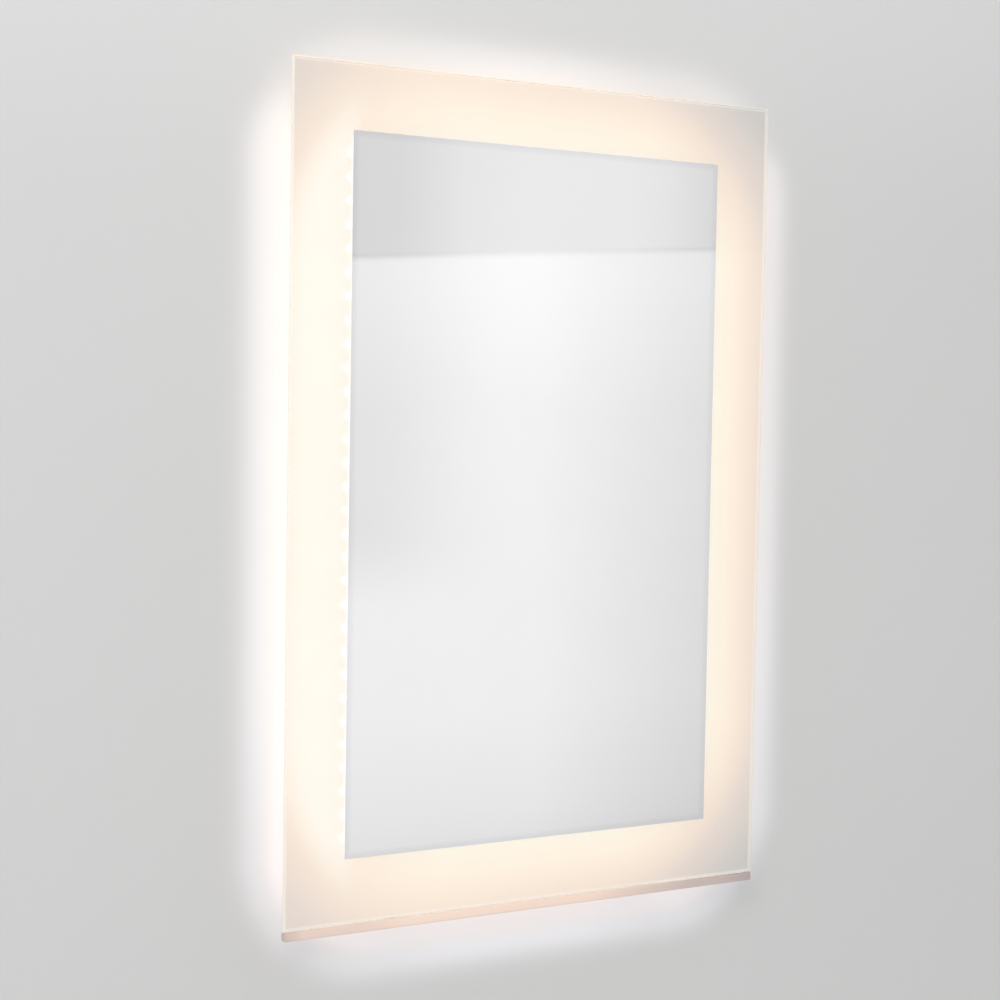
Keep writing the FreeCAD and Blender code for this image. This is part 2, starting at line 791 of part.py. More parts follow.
def make_wiring_cover():
    """A folded sheet box over the terminal block, with two screw flanges."""
    foot = frame_back_y - cover_panel_gap
    z0 = driver_z - cover_width / 2
    z1 = driver_z + cover_width / 2
    outer = box(cover_left_x, cover_right_x, foot, cover_front_y, z0, z1)
    inner = box(cover_left_x + cover_wall, cover_right_x - cover_wall,
                foot + cut_past, cover_front_y + cover_wall, z0 + cover_wall, z1 - cover_wall)
    shell = outer.cut(inner)
    flanges = []
    for side in (-1, 1):
        edge_z = driver_z + side * cover_width / 2
        flanges.append(box(cover_left_x, cover_right_x, foot, foot - cover_wall,
                           edge_z - side * cover_wall, edge_z + side * cover_flange))
    shell = shell.fuse(flanges).removeSplitter()
    past_flange_y = foot - cover_wall - cut_past
    holes = screw_holes(cover_screw_places, screw_radius + hole_clearance, foot + cut_past, past_flange_y)
    reach = input_lead_radius + lead_hole_clearance
    for side in (-1, 1):
        z = driver_z + side * pole_pitch
        holes.append(box(cover_right_x - cover_wall - cut_past, cover_right_x + cut_past,
                         input_lead_y - reach, input_lead_y + reach, z - reach, z + reach))
    return drilled(shell, holes)


def make_cover_screws():
    """The screws that hold the wiring cover, put in from behind the panel."""
    length = panel_thickness + cover_panel_gap + cover_wall + screw_end
    return Part.makeCompound([screw(x, z, panel_back_y, length) for x, z in cover_screw_places])


def make_gland_body():
    """The cable gland of the supply: a hexagon head behind the panel, and a neck through it."""
    head_back = panel_back_y + gland_head_height
    neck_front = frame_back_y - gland_nut_height - gland_neck_beyond_nut
    head = hexagon(gland_x, driver_z, gland_hexagon, panel_back_y, head_back)
    neck = round_bar(gland_neck_radius, Vector(gland_x, panel_back_y, driver_z),
                     Vector(gland_x, neck_front, driver_z))
    body = head.fuse(neck).removeSplitter()
    bore = screw_holes([(gland_x, driver_z)], gland_bore, head_back + cut_past, neck_front - cut_past)
    return drilled(body, bore)


def make_gland_nut():
    """The flat hexagon nut that holds the gland from inside."""
    front = frame_back_y - gland_nut_height
    nut = hexagon(gland_x, driver_z, gland_hexagon, frame_back_y, front)
    hole = screw_holes([(gland_x, driver_z)], gland_neck_radius + hole_clearance, frame_back_y + cut_past,
                       front - cut_past)
    return drilled(nut, hole)


def make_earth_screw():
    """The earth screw through the strap and the panel, its head inside the wiring compartment."""
    x, z = earth_screw_place
    seat = frame_back_y - strap_thickness
    length = strap_thickness + panel_thickness + screw_end
    return screw(x, z, seat, length, earth_screw_radius, strap_width / 2, outward=-1)


def make_earth_strap():
    """The flat earth strap, from the block's upper pole down to the panel under the earth screw."""
    x, z = earth_screw_place
    entry_x = block_left_x + block_entry_depth - lead_end_gap
    foot_end = x - strap_foot / 2
    slope_start = x + strap_foot
    foot_y = frame_back_y - strap_thickness
    entry_y = input_lead_y - strap_thickness / 2
    # the path is laid out as Y and X, and is then turned so that its width runs along Z
    path = [(foot_y, foot_end), (foot_y, x + strap_foot / 2), (entry_y, slope_start), (entry_y, entry_x)]
    strap = bent_sheet(path, strap_thickness, strap_bend, -strap_width / 2, strap_width / 2)
    strap.rotate(Vector(0, 0, 0), Vector(0, 1, 0), 90)
    strap.translate(Vector(0, 0, z))
    radius = earth_screw_radius + hole_clearance
    holes = screw_holes([(x, z)], radius, frame_back_y + cut_past, foot_y - cut_past)
    # the end narrows to pass into the block
    narrow = block_entry_size / 2 - hole_clearance
    trims = [box(slope_start, entry_x + cut_past, entry_y - cut_past, entry_y + strap_thickness + cut_past,
                 z + side * narrow, z + side * strap_width)
             for side in (-1, 1)]
    return drilled(strap, holes + trims)


def make_input_leads():
    """The two straight leads from the terminal block to the driver."""
    leads = []
    for side in (-1, 1):
        z = driver_z + side * pole_pitch
        start = Vector(block_right_x - block_entry_depth + lead_end_gap, input_lead_y, z)
        end = Vector(driver_left_x - lead_end_gap - hole_clearance, input_lead_y, z)
        leads.append(round_bar(input_lead_radius, start, end))
    return Part.makeCompound(leads)


def output_lead_points():
    """The output lead's route: across, down, out through the right channel and up onto the strip."""
    drop_x = driver_right_x + driver_gland_length + output_lead_drop_x
    strip_x = half_width + strip_thickness + flat_lead_thickness / 2 + jumper_clearance / 2
    strip_z = frame_bottom_z + strip_end_gap + jumper_lap
    return [
        Vector(driver_right_x + lead_end_gap + hole_clearance, light_y, driver_z),
        Vector(drop_x, light_y, driver_z),
        Vector(drop_x, light_y, exit_z),
        Vector(strip_x, light_y, exit_z),
        Vector(strip_x, light_y, strip_z),
    ]


def make_output_lead():
    """The flat twin lead from the driver to the first strip, in one plane with the strips."""
    bends = [output_lead_bend, output_lead_bend, output_exit_bend]
    print("output lead bends", bends, "for a lead of thickness", flat_lead_thickness)
    return flat_lead(output_lead_points(), bends, flat_lead_thickness, flat_lead_width)


def make_lead_clips():
    """Stand-off clips on the panel that hold the output lead along its drop."""
    points = output_lead_points()
    x = points[1].x
    top_z = points[1].z - output_lead_bend
    bottom_z = points[2].z + output_lead_bend
    clips = []
    for index in range(clip_count):
        z = top_z + (bottom_z - top_z) * (index + 0.5) / clip_count
        wide = flat_lead_width / 2 + hole_clearance
        thick = flat_lead_thickness / 2 + hole_clearance
        post = box(x - clip_width / 2, x + clip_width / 2, frame_back_y - driver_foot_gap,
                   light_y - wide - clip_top, z - clip_length / 2, z + clip_length / 2)
        bore = box(x - thick, x + thick, light_y - wide, light_y + wide, z - clip_length, z + clip_length)
        clips.append(post.cut(bore))
    return Part.makeCompound(clips)


def build_nodes():
    """Every piece of the mirror by name."""
    nodes = {
        "wall_cleat": make_wall_cleat(),
        "hanging_cleat": make_hanging_cleat(),
        "cleat_screws": frame_screws(cleat_screw_places, panel_back_y + cleat_thickness),
        "front_glass": make_glass(),
        "silver_coating": make_layer(0, glass_back_y, silver_back_y),
        "backing_film": make_layer(film_inset, silver_back_y, film_back_y),
    }
    for side in sides:
        nodes["frame_channel_" + side] = make_channel(side)
        nodes["foam_tape_" + side] = make_tape(side)
        nodes["light_strip_" + side] = make_strip(side)
        nodes["light_chips_" + side] = make_chips(side)
    for height, sz in (("top", 1), ("bottom", -1)):
        for hand, sx in (("left", -1), ("right", 1)):
            nodes["corner_key_" + height + "_" + hand] = make_key(sx, sz)
    nodes["corner_jumpers"] = make_jumpers()
    nodes["back_panel"] = make_back_panel()
    nodes["panel_screws"] = frame_screws(panel_screw_places, panel_back_y)
    nodes["bottom_rail"] = make_bottom_rail()
    for name, x in zip(("left", "right"), bracket_places):
        nodes["rail_bracket_" + name] = make_bracket(x)
    nodes["bracket_screws"] = frame_screws(bracket_screw_places, panel_back_y + bracket_thickness)
    nodes["rail_screws"] = make_rail_screws()
    nodes["wall_bumper_left"] = make_bumper(-1)
    nodes["wall_bumper_right"] = make_bumper(1)
    nodes["driver_case"] = make_driver_case()
    nodes["driver_cover"] = make_driver_cover()
    nodes["driver_screws"] = make_driver_screws()
    nodes["terminal_block"] = make_terminal_block()
    nodes["wiring_cover"] = make_wiring_cover()
    nodes["cover_screws"] = make_cover_screws()
    nodes["supply_gland"] = make_gland_body()
    nodes["gland_nut"] = make_gland_nut()
    nodes["earth_screw"] = make_earth_screw()
    nodes["earth_strap"] = make_earth_strap()
    nodes["input_leads"] = make_input_leads()
    nodes["output_lead"] = make_output_lead()
    nodes["lead_clips"] = make_lead_clips()
    return nodes


os.makedirs("parts", exist_ok=True)
for node_name, node_shape in build_nodes().items():
    node_shape.exportStep("parts/" + node_name + ".step")
print("mirror centre", round(centre_z, 2), "front", round(glass_front_y, 2))
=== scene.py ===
"""Lighted bathroom mirror: the looks of its pieces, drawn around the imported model.

Metres, in the model's own frame: the wall is the plane Y = 0, the room is towards -Y and +Z is up.
"""
import json
import math
from functools import partial, reduce

import bmesh
import bpy
from bpy.props import FloatProperty, FloatVectorProperty, IntProperty, PointerProperty
from bpy.types import NodeSocket, Operator, Panel, PropertyGroup
from mathutils import Matrix, Vector


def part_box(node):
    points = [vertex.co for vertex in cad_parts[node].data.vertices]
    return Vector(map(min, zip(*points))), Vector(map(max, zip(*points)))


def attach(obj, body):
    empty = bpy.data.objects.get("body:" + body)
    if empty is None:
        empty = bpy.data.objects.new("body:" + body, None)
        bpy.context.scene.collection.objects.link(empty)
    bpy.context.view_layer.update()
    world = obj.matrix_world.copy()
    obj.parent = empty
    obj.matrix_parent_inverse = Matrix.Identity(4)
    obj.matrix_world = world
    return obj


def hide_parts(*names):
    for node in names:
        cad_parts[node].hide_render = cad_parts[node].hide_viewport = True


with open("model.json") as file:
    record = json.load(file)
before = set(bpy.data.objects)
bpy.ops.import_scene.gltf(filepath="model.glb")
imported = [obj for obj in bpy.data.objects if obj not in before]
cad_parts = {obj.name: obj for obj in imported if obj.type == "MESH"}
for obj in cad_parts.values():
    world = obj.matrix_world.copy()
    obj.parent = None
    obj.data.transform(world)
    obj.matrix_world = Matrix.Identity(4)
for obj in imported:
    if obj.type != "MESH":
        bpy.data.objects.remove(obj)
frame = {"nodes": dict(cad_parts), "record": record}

bl_info = {
    "name": "Lighted bathroom mirror",
    "version": (1, 0, 0),
    "blender": (4, 5, 0),
    "location": "3D View > Sidebar > Mirror",
    "description": "Dresses the packed model of a back-lit bathroom mirror and its stage",
    "category": "Object",
}

MIRROR = "mirror"
SIDES = ("left", "top", "right", "bottom")
TINY = 1e-6
GLASS_IOR = 1.52
TOWARDS_ROOM = Vector((0, -1, 0))
TOWARDS_WALL = Vector((0, 1, 0))
UP = Vector((0, 0, 1))

GLASS_LOW, GLASS_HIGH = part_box("front_glass")
SILVER_LOW, SILVER_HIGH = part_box("silver_coating")
STRIP_LOW, STRIP_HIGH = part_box("light_strip_left")
TOP_STRIP_LOW, TOP_STRIP_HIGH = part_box("light_strip_top")
CENTRE = Vector((0, 0, (SILVER_LOW.z + SILVER_HIGH.z) / 2))
SILVER_HALF = Vector((SILVER_HIGH.x, 0, SILVER_HIGH.z - CENTRE.z))
BORDER = SILVER_LOW.x - GLASS_LOW.x
FRAME_HALF = Vector((-STRIP_HIGH.x, 0, TOP_STRIP_LOW.z - CENTRE.z))
LIGHT_Y = (STRIP_LOW.y + STRIP_HIGH.y) / 2


# ---- settings

def metres(description, default):
    """A size in metres, still without its name."""
    return partial(FloatProperty, description=description, default=default, min=0, precision=5,
                   unit="LENGTH")


def hue(description, default):
    """A linear colour, still without its name."""
    return partial(FloatVectorProperty, description=description, default=default, min=0, soft_max=1,
                   size=3, subtype="COLOR")


def share(description, default, high=1.0):
    """A plain number that starts at nothing, still without its name."""
    return partial(FloatProperty, description=description, default=default, min=0, soft_max=high,
                   precision=3)


def labelled(group):
    """Gives each setting of a group its own name as the label."""
    settings = group.__annotations__
    for key, setting in settings.items():
        settings[key] = setting(name=key.replace("_", " ").capitalize())
    return group


@labelled
class GlassSettings(PropertyGroup):
    """Sizes and colours of the glass panel."""
    arris: metres("Width of the ground bevel round both faces", 0.0015)
    silver_relief: metres("How far the silvered face lies in front of its own layer", 0.00003)
    clear_tint: hue("What the glass lets through at each face", (0.985, 0.985, 0.985))
    edge_tint: hue("What the ground edge lets through", (0.92, 0.91, 0.85))
    edge_glow: hue("Light caught by the ground edge", (0.05, 0.035, 0.015))
    top_edge_glow: hue("Light caught by the upper ground edge", (0.14, 0.06, 0.0))
    frost: hue("The sand-blasted border without its light", (0.40, 0.385, 0.37))
    margin: metres("Width of the brighter line inside the ground edge", 0.0042)
    margin_strength: share("How strongly that line shows", 0.42)
    rounding: metres("How round the glow is about the silver's corners", 0.140)
    glow_at_silver: hue("Light of the border beside the silver", (0.735, 0.690, 0.570))
    glow_inner: hue("Light of the border a quarter of the way out", (0.715, 0.600, 0.484))
    glow_middle: hue("Light of the border halfway out", (0.641, 0.530, 0.438))
    glow_outer: hue("Light of the border near its corners", (0.535, 0.456, 0.405))
    glow_at_corner: hue("Light of the border in its corners", (0.350, 0.345, 0.340))
    margin_glow: hue("Light of the line inside the ground edge", (0.657, 0.648, 0.630))
    spot_glow: hue("Light where a chip shows through the frost", (0.90, 0.88, 0.86))
    spot_reach: metres("How far a chip shows beyond the silver", 0.012)
    spot_half_height: metres("Half the height of the spot of a chip", 0.0085)
    line_width: metres("Width of the bright line beside the silver's left edge", 0.0036)
    line_strength: share("How strongly that line shows beside the spots", 0.6)
    spot_end: metres("How far the spots stay away from the silver's corners", 0.011)
    glow_left: hue("Light of the left border, which is the brightest", (0.735, 0.690, 0.607))
    silver: hue("The silvered middle", (0.93, 0.93, 0.93))
    silver_rim: hue("The silver along its cut edge", (0.84, 0.84, 0.865))
    rim_width: metres("Width of the greyer rim of the silver", 0.010)


@labelled
class LightSettings(PropertyGroup):
    """Sizes and colours of the light strips."""
    chip_bevel: metres("Bevel of a chip's housing", 0.00012)
    lens_inset: metres("Rim left round a chip's lens", 0.00035)
    lens_depth: metres("How deep the lens lies in its rim", 0.00012)
    light: hue("Colour of the light of the chips", (1.0, 0.86, 0.66))
    phosphor: hue("A chip's lens without its light", (0.85, 0.66, 0.24))
    housing: hue("A chip's housing", (0.84, 0.83, 0.79))
    solder: hue("The solder at a chip's ends", (0.66, 0.66, 0.67))
    resistor: hue("A resistor's body", (0.03, 0.03, 0.032))
    tin: hue("A resistor's tinned ends", (0.68, 0.68, 0.69))
    copper: hue("The pads along a cut line", (0.78, 0.48, 0.30))
    strength: share("Brightness of a chip's lens", 9.0, high=50.0)
    mask: hue("The white face of the strips", (0.86, 0.84, 0.78))
    chips_per_cut: partial(IntProperty, description="Chips between two cut lines", default=3, min=1)


@labelled
class RailSettings(PropertyGroup):
    """Sizes and colours of the rail below the glass."""
    end_radius: metres("Radius of the rail's lower corners", 0.0014)
    bevel: metres("Bevel of the rail's long edges", 0.0008)
    body: hue("The rail without the light behind it", (0.46, 0.36, 0.33))
    glow_left: hue("Light at the rail's left end", (0.31, 0.24, 0.19))
    glow_middle: hue("Light in the rail's middle", (0.44, 0.345, 0.26))
    glow_right: hue("Light at the rail's right end", (0.12, 0.12, 0.115))
    glow_end: hue("Light at the rail's farthest end", (0.0, 0.0, 0.030))


@labelled
class HardwareSettings(PropertyGroup):
    """Sizes and colours of the fastenings and fittings."""
    head_height: metres("Height of a screw's head", 0.0018)
    flange_height: metres("Height of the washer under a screw's head", 0.0005)
    thread_pitch: metres("Distance between two turns of a screw's thread", 0.0006)
    zinc: hue("Zinc-plated sheet", (0.56, 0.57, 0.59))
    bright_zinc: hue("Plated screws", (0.62, 0.62, 0.64))
    rubber: hue("Wall bumpers", (0.030, 0.030, 0.032))
    nylon: hue("The cable gland", (0.035, 0.035, 0.038))
    bumper_bevel: metres("Rounding of a wall bumper", 0.0016)


@labelled
class FinishSettings(PropertyGroup):
    """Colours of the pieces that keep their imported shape."""
    powder_coat: hue("The frame's channels", (0.80, 0.80, 0.79))
    panel_paint: hue("The back panel and its box", (0.66, 0.66, 0.66))
    film: hue("The film behind the silver", (0.17, 0.18, 0.19))
    foam: hue("Foam tape", (0.72, 0.72, 0.71))
    moulding: hue("The light driver's plastic", (0.74, 0.74, 0.73))
    insulation: hue("Leads", (0.72, 0.72, 0.70))
    copper: hue("The earth strap", (0.62, 0.42, 0.30))


@labelled
class StageSettings(PropertyGroup):
    """The room round the mirror: wall, floor, lamps and camera."""
    wall: hue("The wall that the mirror hangs on", (0.64, 0.64, 0.64))
    floor: hue("The floor", (0.66, 0.66, 0.65))
    floor_drop: metres("How far the floor lies below the wall cleat", 1.95)
    halo: hue("Light on the wall beside the frame", (0.375, 0.325, 0.315))
    halo_far: hue("Light on the wall further out", (0.212, 0.202, 0.212))
    halo_right: metres("How far the light on the wall lies to the right", 0.014)
    halo_down: metres("How far the light on the wall lies below the middle", 0.016)
    halo_edge: metres("How far the light reaches behind the frame", 0.025)
    halo_rounding: metres("How round the light on the wall is about the corners", 0.018)
    halo_bounce: share("Share of the light on the wall that falls back on the mirror", 0.25)
    halo_fade: share("How much weaker the light above the mirror is towards its sides", 0.56)
    halo_low_fade: share("How much weaker the outer light is about the lower corners", 0.25)
    halo_above: hue("Tint of the light on the wall above the mirror", (1.0, 0.95, 0.89))
    halo_below: hue("Tint of the light on the wall below the mirror", (1.0, 1.05, 1.13))
    halo_reach: metres("How far from the frame the light on the wall ends", 0.170)
    daylight: share("Light that comes from all round", 0.86, high=2.0)
    flat_distance: metres("Distance of the pale flat that the mirror shows", 3.5)
    lens: partial(FloatProperty, description="Focal length in millimetres", default=67.09, min=1)


class LightedMirrorSettings(PropertyGroup):
    """All that a user would change on the mirror."""
    glass: PointerProperty(type=GlassSettings)
    lights: PointerProperty(type=LightSettings)
    rail: PointerProperty(type=RailSettings)
    hardware: PointerProperty(type=HardwareSettings)
    finishes: PointerProperty(type=FinishSettings)
    stage: PointerProperty(type=StageSettings)


def settings_of(context):
    """The mirror's settings."""
    return context.scene.lighted_mirror


# ---- patterns

def add_node(tree, kind, inputs=None, **settings):
    """A node with its settings, and its inputs set to a value or linked to a socket."""
    node = tree.nodes.new(kind)
    for key, value in settings.items():
        setattr(node, key, value)
    for key, value in (inputs or {}).items():
        if isinstance(value, NodeSocket):
            tree.links.new(value, node.inputs[key])
        else:
            node.inputs[key].default_value = value
    return node


def step(kind, inputs, **settings):
    """A node in the same tree as the sockets that feed it."""
    tree = next(value.id_data for value in inputs.values() if isinstance(value, NodeSocket))
    return add_node(tree, kind, inputs, **settings)


def on_object(tree, scale=(1, 1, 1), location=(0, 0, 0)):
    """The point on the piece, moved and scaled for a pattern."""
    point = add_node(tree, "ShaderNodeTexCoord").outputs["Object"]
    return step("ShaderNodeMapping", {
        "Vector": point, "Scale": scale, "Location": location}).outputs["Vector"]


def axis_of(point, axis):
    """One coordinate of a point."""
    return step("ShaderNodeSeparateXYZ", {"Vector": point}).outputs[axis]


def coordinate(tree, axis, location=(0, 0, 0)):
    """One coordinate of the point on the piece."""
    return axis_of(on_object(tree, location=location), axis)


def noise(point, scale, detail=3.0, roughness=0.5):
    """A soft random pattern from 0 to 1."""
    return step("ShaderNodeTexNoise", {
        "Vector": point, "Scale": scale, "Detail": detail, "Roughness": roughness}).outputs["Fac"]


def spread(value, low, high, to_low=0.0, to_high=1.0, between="LINEAR"):
    """A value moved from one range to another, and held inside it."""
    return step("ShaderNodeMapRange", {
        "Value": value, "From Min": low, "From Max": high, "To Min": to_low, "To Max": to_high,
    }, interpolation_type=between).outputs["Result"]


def rise(value, low, high, to_low=0.0, to_high=1.0):
    """A value that goes smoothly from one level to another between two places."""
    return spread(value, low, high, to_low, to_high, "SMOOTHSTEP")


def fade(value, low, high, start=1.0):
    """A value that falls smoothly to nothing between two places."""
    return rise(value, low, high, start, 0.0)


def evened(pattern, to_low=0.0, to_high=1.0):
    """A noise, which keeps near its middle, spread over its whole range."""
    return spread(pattern, 0.3, 0.7, to_low, to_high)


def ramp(factor, stops, between="LINEAR"):
    """A colour that passes through stops of place and colour."""
    node = step("ShaderNodeValToRGB", {"Fac": factor})
    node.color_ramp.interpolation = between
    elements = node.color_ramp.elements
    while len(elements) < len(stops):
        elements.new(1.0)
    for element, (place, colour) in zip(elements, stops):
        element.position = place
        element.color = solid(colour)
    return node.outputs["Color"]


def light_ramp(factor, stops, between="LINEAR"):
    """A light that passes through stops of place, colour and strength."""
    return ramp(factor, [(place, shade(light, amount)) for place, light, amount in stops], between)


def grey_ramp(factor, stops):
    """A grey that passes through stops of place and level."""
    return ramp(factor, [(place, (level,) * 3) for place, level in stops])


def mixed(factor, first, second, blend="MIX"):
    """Two colours mixed by a pattern."""
    colours = [value if isinstance(value, NodeSocket) else solid(value) for value in (first, second)]
    inputs = dict(zip((0, 6, 7), (factor, *colours)))
    return step("ShaderNodeMix", inputs, data_type="RGBA", blend_type=blend).outputs[2]


def vector_math(operation, first, second=(0, 0, 0)):
    """One step of vector arithmetic."""
    node = step("ShaderNodeVectorMath", {0: first, 1: second}, operation=operation)
    return node.outputs["Value" if operation == "LENGTH" else "Vector"]


def math_step(operation, first, second=0.0):
    """One step of arithmetic."""
    return step("ShaderNodeMath", {0: first, 1: second}, operation=operation).outputs["Value"]


def larger(first, second):
    """The larger of two values."""
    return math_step("MAXIMUM", first, second)


def times(*values):
    """Values multiplied by each other."""
    return reduce(partial(math_step, "MULTIPLY"), values)


def unless(first, second):
    """1 less the product of two values."""
    return math_step("SUBTRACT", 1.0, times(first, second))


def bump(height, strength, distance):
    """Relief from a pattern."""
    return step("ShaderNodeBump", {
        "Strength": strength, "Distance": distance, "Height": height}).outputs["Normal"]


def beyond_half(tree, half, shift=Vector()):
    """How far a point lies beyond a rectangle's half width and half height, whatever its depth."""
    flat = on_object(tree, scale=(1, 0, 1), location=-CENTRE - shift)
    return vector_math("SUBTRACT", vector_math("ABSOLUTE", flat), (half.x, 0, half.z))


def distance_outside(tree, half, rounding=0.0, shift=Vector()):
    """How far a point lies outside a rectangle about the mirror's centre, whatever its depth.

    With a rounding the lines of equal distance bend round the corners from further in.
    """
    beyond = beyond_half(tree, Vector((half.x - rounding, 0, half.z - rounding)), shift)
    return math_step("SUBTRACT", vector_math("LENGTH", vector_math("MAXIMUM", beyond)), rounding)


def distance_inside(tree, half):
    """How far a point lies inside a rectangle about the mirror's centre."""
    beyond = beyond_half(tree, half)
    return times(larger(axis_of(beyond, "X"), axis_of(beyond, "Z")), -1.0)


# ---- colours and materials

def solid(colour):
    """A colour with full alpha, as a socket takes it."""
    return (*colour[:3], 1.0)


def shade(colour, amount):
    """A colour made darker or lighter."""
    return tuple(min(channel * amount, 1.0) for channel in colour)


def varied(pattern, colour, low, high):
    """A colour that a pattern makes darker and lighter."""
    return mixed(pattern, shade(colour, low), shade(colour, high))


def new_finish(name, colour, inputs=None):
    """A material with one principled shader: the material, its node tree and the shader."""
    finish = bpy.data.materials.new(name)
    finish.use_nodes = True
    tree = finish.node_tree
    tree.nodes.clear()
    output = add_node(tree, "ShaderNodeOutputMaterial")
    shader = add_node(tree, "ShaderNodeBsdfPrincipled", {"Base Color": solid(colour), **(inputs or {})})
    tree.links.new(shader.outputs["BSDF"], output.inputs["Surface"])
    return finish, tree, shader


def feed(shader, **sockets):
    """Links patterns to the shader's inputs, whose names have spaces where these have underscores."""
    for name, socket in sockets.items():
        shader.id_data.links.new(socket, shader.inputs[name.replace("_", " ")])


def speckled(name, colour, scale, relief, depth, roughness, variation=0.03, metallic=0.0):
    """A finish with a fine grain in its colour, gloss and relief."""
    finish, tree, shader = new_finish(name, colour, {"Roughness": roughness, "Metallic": metallic})
    grain = noise(on_object(tree), scale, detail=3.0, roughness=0.6)
    feed(shader,
         Base_Color=varied(evened(grain), colour, 1 - variation, 1 + variation),
         Roughness=evened(grain, roughness * 0.88, min(roughness * 1.12, 1.0)),
         Normal=bump(grain, relief, depth))
    return finish


def clear_glass_finish(tint):
    """Polished float glass, with the faint waves that all float glass has."""
    finish, tree, shader = new_finish("clear_glass", tint, {
        "Roughness": 0.0, "IOR": GLASS_IOR, "Transmission Weight": 1.0})
    waves = noise(on_object(tree, scale=(1, 1, 0.35)), 9.0, detail=1.0)
    feed(shader, Normal=bump(waves, 0.02, 0.0004))
    return finish


def ground_edge_finish(glass):
    """The seamed edge of the glass: fine-ground, so it glows with what is inside, warmest along the top."""
    finish, tree, shader = new_finish("ground_edge", glass.edge_tint, {
        "IOR": GLASS_IOR, "Transmission Weight": 0.6, "Emission Strength": 1.0})
    grain = noise(on_object(tree), 2600.0, detail=2.0)
    top = spread(coordinate(tree, "Z"), GLASS_HIGH.z - 0.004, GLASS_HIGH.z - 0.002)
    rightward = rise(coordinate(tree, "X"), 0.0, GLASS_HIGH.x)
    top_glow = mixed(rightward, glass.top_edge_glow, shade(glass.edge_glow, 0.3))
    feed(shader,
         Emission_Color=mixed(top, glass.edge_glow, top_glow),
         Roughness=evened(grain, 0.22, 0.42),
         Normal=bump(grain, 0.12, 0.0001))
    return finish


def border_glow(tree, glass):
    """The light of the border: it falls off away from the silver, and is strongest on the left."""
    slow_on_left, reach_end = 0.62, 0.140
    corner_start, corner_end = 0.050, 0.095
    distance = distance_outside(tree, SILVER_HALF, glass.rounding)
    x = coordinate(tree, "X")
    far_side = spread(x, -SILVER_HALF.x, SILVER_HALF.x, slow_on_left, 1.0)
    glow = ramp(spread(times(distance, far_side), 0.0, reach_end), (
        (0.0, glass.glow_at_silver), (0.23, glass.glow_inner), (0.41, glass.glow_middle),
        (0.57, glass.glow_outer), (1.0, glass.glow_at_corner)))
    on_left = fade(x, -SILVER_HALF.x - 0.012, -SILVER_HALF.x + 0.02)
    not_in_corner = fade(distance, corner_start, corner_end)
    return mixed(times(on_left, not_in_corner), glow, glass.glow_left)


def chip_spots(tree, glass):
    """Where chips show through the frost: a bright line by the silver's left edge, wider at each chip."""
    first, second = (middle_of(box).z for box in solids_of("light_chips_left")[:2])
    point = on_object(tree, location=(0, 0, -first))
    along = math_step("PINGPONG", axis_of(point, "Z"), (second - first) / 2)
    from_silver = distance_outside(tree, SILVER_HALF)
    place = step("ShaderNodeCombineXYZ", {
        "X": spread(from_silver, 0.0, glass.spot_reach), "Y": spread(along, 0.0, glass.spot_half_height)})
    spot = fade(vector_math("LENGTH", place.outputs["Vector"]), 0.1, 1.0)
    line = fade(from_silver, 0.0, glass.line_width, glass.line_strength)
    on_left = spread(axis_of(point, "X"), -SILVER_HALF.x, -SILVER_HALF.x + 0.0005, 1.0, 0.0)
    height = axis_of(beyond_half(tree, SILVER_HALF), "Z")
    in_row = fade(height, -glass.spot_end, -glass.spot_end * 0.3)
    return times(larger(spot, line), times(on_left, in_row))


def frosted_finish(glass):
    """The sand-blasted border, lit from behind, with a brighter line inside the ground edge."""
    finish, tree, shader = new_finish("frosted_border", glass.frost, {
        "Roughness": 0.85, "Emission Strength": 1.0})
    from_edge = distance_inside(tree, SILVER_HALF + Vector((BORDER, 0, BORDER)))
    margin = fade(from_edge, glass.margin - 0.0008, glass.margin)
    grain = noise(on_object(tree), 3400.0, detail=4.0, roughness=0.7)
    cloud = spread(noise(on_object(tree), 16.0, detail=2.0), 0.35, 0.65, 0.0, 0.04)
    clouded = mixed(cloud, border_glow(tree, glass), glass.glow_outer)
    lined = mixed(times(margin, glass.margin_strength), clouded, glass.margin_glow)
    feed(shader,
         Emission_Color=mixed(chip_spots(tree, glass), lined, glass.spot_glow),
         Base_Color=varied(evened(grain), glass.frost, 0.96, 1.04),
         Normal=bump(grain, 0.2, 0.00006))
    return finish


def silvering_finish(glass):
    """Silver on the back of the glass, a little bluer and greyer along its cut edge."""
    finish, tree, shader = new_finish("silvering", glass.silver, {"Metallic": 1.0, "Roughness": 0.015})
    inner = SILVER_HALF - Vector((glass.rim_width, 0, glass.rim_width))
    rim = rise(distance_outside(tree, inner), 0.0, glass.rim_width)
    cloud = spread(noise(on_object(tree), 11.0, detail=2.0), 0.35, 0.65)
    clear = varied(cloud, glass.silver, 0.992, 1.0)
    feed(shader, Base_Color=mixed(rim, clear, glass.silver_rim))
    return finish


def zinc_finish(colour):
    """Zinc-plated sheet: soft crystals, and the faint lines of the rolling mill along its length."""
    finish, tree, shader = new_finish("zinc_steel", colour, {"Metallic": 0.9})
    crystal = step("ShaderNodeTexVoronoi", {"Vector": on_object(tree), "Scale": 260.0, "Randomness": 1.0})
    crystals = axis_of(crystal.outputs["Color"], "X")
    lines = noise(on_object(tree, scale=(0.03, 1, 1)), 1400.0, detail=2.0)
    feed(shader,
         Base_Color=varied(crystals, colour, 0.88, 1.08),
         Roughness=spread(crystals, 0.0, 1.0, 0.34, 0.50),
         Normal=bump(lines, 0.08, 0.0001))
    return finish


